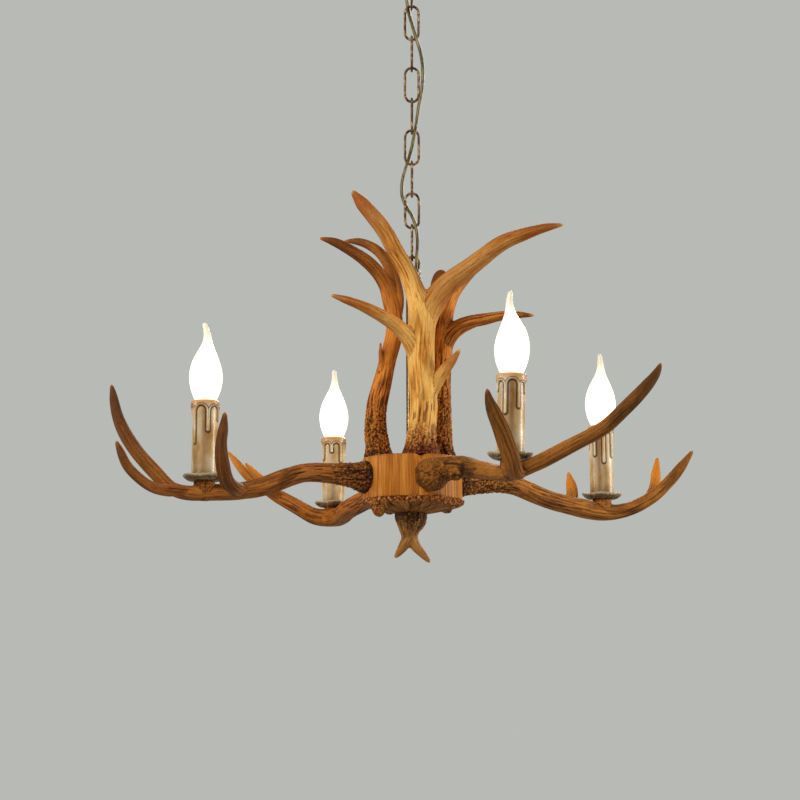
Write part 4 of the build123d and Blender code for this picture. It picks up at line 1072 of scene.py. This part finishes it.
def make_bulb(number, material):
    height, radius = smooth_profile(BULB_OUTLINE, BULB_RADIUS)
    aside = np.interp(height, *smooth_profile(BULB_BENDS[number - 1]))
    sides = 48
    turn = circle(sides)
    rings = [about_axis(turn, BULB_NECK, SLEEVE_TOP - 2.5)]
    rings += [about_axis(turn, r, SLEEVE_TOP + z) + RIGHT * x for x, r, z in zip(aside, radius, height)]
    local = np.concatenate(rings)
    new_piece(
        f"bulb_{number}_flame", leaned(local, number), grid_faces(len(rings), sides, caps=True), material,
        f"bulb_{number}", "bulb_glass", [f"bulb_glass_{number}"],
        height=(local[:, 2] - local[:, 2].min()) / np.ptp(local[:, 2]),
    )


# ---- chain, loops, canopy and cord

LINK_WIDTH = 15
LINK_LENGTH = 39
LINK_WIRE = 1.5
LINK_WAIST = 0.035


def stadium(count):
    """A link's outline: two half circles joined by straight sides, as evenly spaced points."""
    bend = LINK_WIDTH / 2
    straight = LINK_LENGTH - LINK_WIDTH
    half = math.pi * bend + straight
    run = 2 * half * np.arange(count) / count
    sign = np.where(run < half, 1, -1)
    run = run % half
    angle = np.minimum(run / bend, math.pi)
    side = straight / 2 - np.maximum(run - math.pi * bend, 0)
    return np.column_stack([sign * bend * np.cos(angle), sign * (side + bend * np.sin(angle))])


def wire_ring(outline, across, centre, radius, sides, seed):
    """A closed wire along an outline in the upright plane of one direction, its surface hammered."""
    path = centre + outline[:, :1] * across + outline[:, 1:] * UP
    ahead = np.roll(path, -1, axis=0) - np.roll(path, 1, axis=0)
    ahead /= lengths(ahead)[:, None]
    normal = np.cross(across, UP)
    turn = circle(sides)
    rings = [ring(spot, radius, np.cross(direction, normal), normal, turn) for spot, direction in zip(path, ahead)]
    points = np.concatenate(rings)
    middle = np.repeat(path, sides, axis=0)
    dents = noise(points / 3, seed)
    return middle + (points - middle) * (1 + 0.07 * (dents - 1))[:, None], grid_faces(len(path), sides)


def make_chain(material):
    outline = stadium(84)
    outline[:, 0] *= 1 + LINK_WAIST * np.cos(np.pi * outline[:, 1] / LINK_LENGTH)
    outline[:, 0] *= LINK_WIDTH / 2 / np.abs(outline[:, 0]).max()
    for number in LINKS:
        node = f"chain_link_{number}"
        centre = UP * box(node).mean(axis=0)
        across = RIGHT if number % 2 == 0 else AWAY
        points, faces = wire_ring(outline, across, centre, LINK_WIRE, 14, 50 + number)
        new_piece(f"link_{number}_wire", points, faces, material, f"link_{number}", "antique_brass", [node])


def rounded(profile, bevel):
    """The profile with each corner turned into two."""
    result = [profile[0]]
    for before, here, after in zip(profile, profile[1:], profile[2:]):
        for other in (before, after):
            run = math.hypot(other[0] - here[0], other[1] - here[1])
            share = min(0.4, bevel / run)  # the two new corners never meet
            result.append((here[0] + (other[0] - here[0]) * share, here[1] + (other[1] - here[1]) * share))
    return result + [profile[-1]]


EYE_WIRE = 1.75


def join_loop(name, profile, eye_height, eye_radius, material, body, node):
    """A turned collar with an eye of wire above or below it."""
    sides = 96
    profile = rounded(profile, 0.6)
    collar = lathe(profile, sides), grid_faces(len(profile), sides, caps=True)
    outline = about_axis(circle(64), eye_radius, 0)[:, :2]
    eye = wire_ring(outline, RIGHT, UP * eye_height, EYE_WIRE, 16, 60)
    new_piece(name, *joined(collar, eye), material, body, "antique_brass", [node])


def make_loops(material):
    """The canopy's screw loop and the one on the rod."""
    low, high = box("canopy_loop")
    top, eye_bottom = high[2], low[2]
    bottom = top - 10.95
    collar = [
        (5.2, top), (9.4, top), (9.4, top - 3.4), (8.1, top - 4.9), (9.4, bottom + 3.5), (8.1, bottom), (0.4, bottom),
    ]
    join_loop("canopy_screw_loop", collar, eye_bottom + 11.5, 9.75, material, "canopy", "canopy_loop")
    low, high = box("top_loop")
    eye_top, bottom = high[2], low[2]
    top = bottom + 24
    bell = [(0.4, top), (8.5, top)]
    for k in range(3):
        bell += [(9.7, top - (k + 0.5) * 5), (8.5, top - (k + 1) * 5)]
    bell += [(7.6, bottom), (6.6, bottom)]
    join_loop("rod_screw_loop", bell, eye_top - 9.5, 7.75, material, "fixture", "top_loop")


def make_canopy(material):
    """A spun bowl with a rolled rim and a faint line round it."""
    low, high = box("canopy")
    radius, height = (high[0] - low[0]) / 2 - 0.05, high[2] - low[2]
    band, wall, floor, hole, sides = 6, 1.2, 16, 5.1, 128
    outer = [(radius, 0), (radius, -band * 0.35), (radius - 0.5, -band * 0.5), (radius, -band * 0.65)]
    inner = [(radius - wall, 0)]
    for angle in np.linspace(0, math.pi / 2, 19):
        for side, skin in ((outer, 0), (inner, wall)):
            out = floor + (radius - skin - floor) * math.cos(angle)
            side.append((out, -band - (height - skin - band) * math.sin(angle)))
    profile = outer + [(hole, -height), (hole, wall - height)] + inner[::-1]
    faces = grid_faces(len(profile), sides)
    new_piece("canopy_bowl", lathe(profile, sides), faces, material, "canopy", "antique_brass", ["canopy"])


# Cord route: x, y, height above the top loop's centre. Its ends are added at the two collars.
CORD_ROUTE = [
    (-5.5, 6, 330), (-6.2, 6.2, 310), (-4.2, 5, 290), (0, 0, 273), (4, -5.6, 256), (10, -6.2, 237), (12.5, -4, 216),
    (11, -4, 194), (7, -5.6, 174), (4.6, -5, 154), (0, 0.4, 131), (-5.4, 5.6, 113), (-11, 6, 95), (-11.5, 5.8, 78),
    (-6.5, 4.8, 65), (0, -0.6, 54), (4.6, -5.6, 39), (6.2, -6, 23), (5.2, -5.6, 9),
]
TOP_LOOP_REACH = 9.5
CORD_RADIUS = 1.85
CORD_STEP = 1.2


def cord_line():
    """The cord's smooth line, read from a curve through its route."""
    low, high = box("supply_cord")
    loop_centre = box("top_loop")[1][2] - TOP_LOOP_REACH
    route = [(x, y, loop_centre + z) for x, y, z in CORD_ROUTE]
    route = [(-4.2, 4.4, high[2] - 0.1)] + route + [(4.2, -4.6, low[2] + 0.1)]
    curve = bpy.data.curves.new("cord_line", "CURVE")
    curve.dimensions = "3D"
    line = curve.splines.new("NURBS")
    line.points.add(len(route) - 1)
    for point, place in zip(line.points, route):
        point.co = (*place, 1)
    line.order_u = 3
    line.use_endpoint_u = True
    line.resolution_u = 12
    path, _ = evaluated(curve)
    return path[np.argsort(-path[:, 2])]


def make_cord():
    """The cord in stretches from one link's middle to the next."""
    jacket = [(0.38, (48, 38, 12)), (0.5, (96, 80, 28)), (0.64, (142, 124, 56))]
    material = mottled_material(
        "cord_jacket", (500, 3.0, 0.6, 0.3, 0.25), jacket, 0.0003, 0.5, roughness=0.34, coat=0.15
    )
    path = cord_line()
    reach = np.concatenate([[0], np.cumsum(lengths(np.diff(path, axis=0)))])
    even = np.linspace(0, reach[-1], round(reach[-1] / CORD_STEP))
    path = np.column_stack([np.interp(even, reach, column) for column in path.T])
    sides = 14
    points, _ = tube_points(path, np.full(len(path), CORD_RADIUS), sides)
    bodies = ["canopy"] + [f"link_{n}" for n in LINKS] + ["fixture"]
    tops = [path[0][2]] + [box(f"chain_link_{n}").mean(axis=0)[2] for n in LINKS] + [path[-1][2]]
    cuts = [int(np.argmin(np.abs(path[:, 2] - height))) for height in tops]
    tops = [height * MM for height in tops]
    for i in range(len(bodies) - 1):
        first, last = cuts[i], cuts[i + 1]
        part = points[first * sides:(last + 1) * sides]
        faces = grid_faces(last - first + 1, sides, caps=True)
        piece = new_piece(f"cord_stretch_{i + 1}", part, faces, material, slot="cord_jacket")
        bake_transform(piece)
        if i == 0:
            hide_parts("supply_cord")


# Materials of the CAD pieces that stay: name, noise, low and high tone, roughness, metallic, nodes
TURNED = (300, 3.0, 0.6, 0.0, 6)
MOULDED = (180, 3.0, 0.5)
CAD_LOOKS = [
    ("rod_bronze", TURNED, (72, 54, 34), (128, 100, 62), 0.22, 0.9, ["centre_rod"]),
    ("zinc", TURNED, (150, 150, 146), (186, 186, 182), 0.38, 0.9, [
        "canopy_crossbar", "canopy_nipple", "crossbar_locknut", "rod_nut", "arm_bolts", "upright_screws", "lamp_pins",
    ]),
    ("nylon", MOULDED, (214, 208, 192), (228, 223, 208), 0.45, 0.0, ["cord_grip", "terminal_block"]),
    ("holder", MOULDED, (206, 196, 170), (222, 214, 190), 0.45, 0.0, [f"lamp_holder_{n}" for n in CANDLES]),
    ("cap_metal", TURNED, (170, 168, 160), (208, 206, 198), 0.3, 0.9, [f"bulb_cap_{n}" for n in CANDLES]),
]


def paint_nodes():
    for name, marks, low, high, roughness, metallic, nodes in CAD_LOOKS:
        look = mottled_material(
            name, marks, [(0.4, low), (0.6, high)], 0.0002, 0.3, roughness=roughness, metallic=metallic
        )
        for node in nodes:
            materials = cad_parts[node].data.materials
            materials.clear()
            materials.append(look)


# ---- camera, light and stage

def make_camera():
    data = bpy.data.cameras.new("camera")
    data.lens = CAMERA_LENS
    data.sensor_width = SENSOR_WIDTH
    data.clip_start = 0.05
    camera = bpy.data.objects.new("camera", data)
    camera.location = CAMERA_PLACE
    camera.rotation_euler = (math.pi / 2 + CAMERA_TILT, 0, 0)
    bpy.context.scene.collection.objects.link(camera)
    bpy.context.scene.camera = camera


def make_lights():
    """Round area lights, each turned so that its -Z looks at the target."""
    for name, place, size, power, colour in LIGHTS:
        data = bpy.data.lights.new(name, "AREA")
        data.shape = "DISK"
        data.size = size
        data.energy = power
        data.color = colour
        light = bpy.data.objects.new(name, data)
        light.location = place
        direction = np.array(LIGHT_TARGET) - np.array(place)
        x, y, z = direction / np.linalg.norm(direction)
        light.rotation_euler = (math.acos(-z), 0, math.atan2(-x, y))
        bpy.context.scene.collection.objects.link(light)


def make_world():
    """A pale backdrop to what looks at it or through it, and a fainter sky that lights the scene."""
    world = bpy.data.worlds.new("studio")
    world.use_nodes = True
    bpy.context.scene.world = world
    nodes = Nodes(world.node_tree)
    sky = world.node_tree.nodes["Background"]
    nodes.put(sky.inputs["Color"], SKY)
    nodes.put(sky.inputs["Strength"], AMBIENT)
    seen = nodes.node("ShaderNodeBackground", {"Color": linear(BACKDROP)})
    rays = nodes.node("ShaderNodeLightPath").node.outputs
    shown = nodes.maths("MAXIMUM", rays["Is Camera Ray"], rays["Is Glossy Ray"])
    shown = nodes.maths("MAXIMUM", shown, rays["Is Transmission Ray"])
    mixed = nodes.node("ShaderNodeMixShader", {0: shown, 1: sky.outputs[0], 2: seen})
    nodes.put(world.node_tree.nodes["World Output"].inputs[0], mixed)


def make_floor():
    """A pale round floor that fades into the backdrop and keeps the object's shadow."""
    sides = 96
    points = lathe([(1, FLOOR_HEIGHT / MM), (FLOOR_RADIUS / MM, FLOOR_HEIGHT / MM)], sides)
    faces = grid_faces(2, sides, caps=True)[:-2] + [tuple(range(sides))]
    shader = Shader("floor", roughness=0.9, specular=0.1)
    grain = shader.noise(3, 2.0, 0.55)
    shader.put(shader.surface["Base Color"], shader.ramp(grain, [(0.3, (234, 236, 232)), (0.7, (238, 240, 236))]))
    out = shader.node("ShaderNodeVectorMath", {0: shader.place(0)}, "Value", operation="LENGTH")
    fade = shader.node("ShaderNodeMapRange", {
        "Value": out, "From Min": FLOOR_FADES_FROM, "From Max": FLOOR_RADIUS, "To Min": 1.0, "To Max": 0.0,
    }, interpolation_type="SMOOTHSTEP")
    shader.put(shader.surface["Alpha"], fade)
    new_piece("floor", points, faces, shader.material)


bpy.context.scene.view_settings.view_transform = "Standard"
make_camera()
make_world()
make_floor()
make_lights()

make_cord()
make_arms()
make_uprights()
make_finial()
make_hub()
make_slab()

wax_look = sleeve_material()
dish_look = dish_material()
bulb_look = bulb_material()
for candle in CANDLES:
    make_sleeve(candle, wax_look)
    make_dish(candle, dish_look)
    make_bulb(candle, bulb_look)

make_chain(brass_material("chain_brass", (38, 24, 15), (88, 62, 40), (196, 162, 118), 0.36))
collar_look = brass_material("collar_brass", (66, 48, 30), (128, 100, 62), (190, 156, 104), 0.35)
make_loops(collar_look)
make_canopy(collar_look)
paint_nodes()
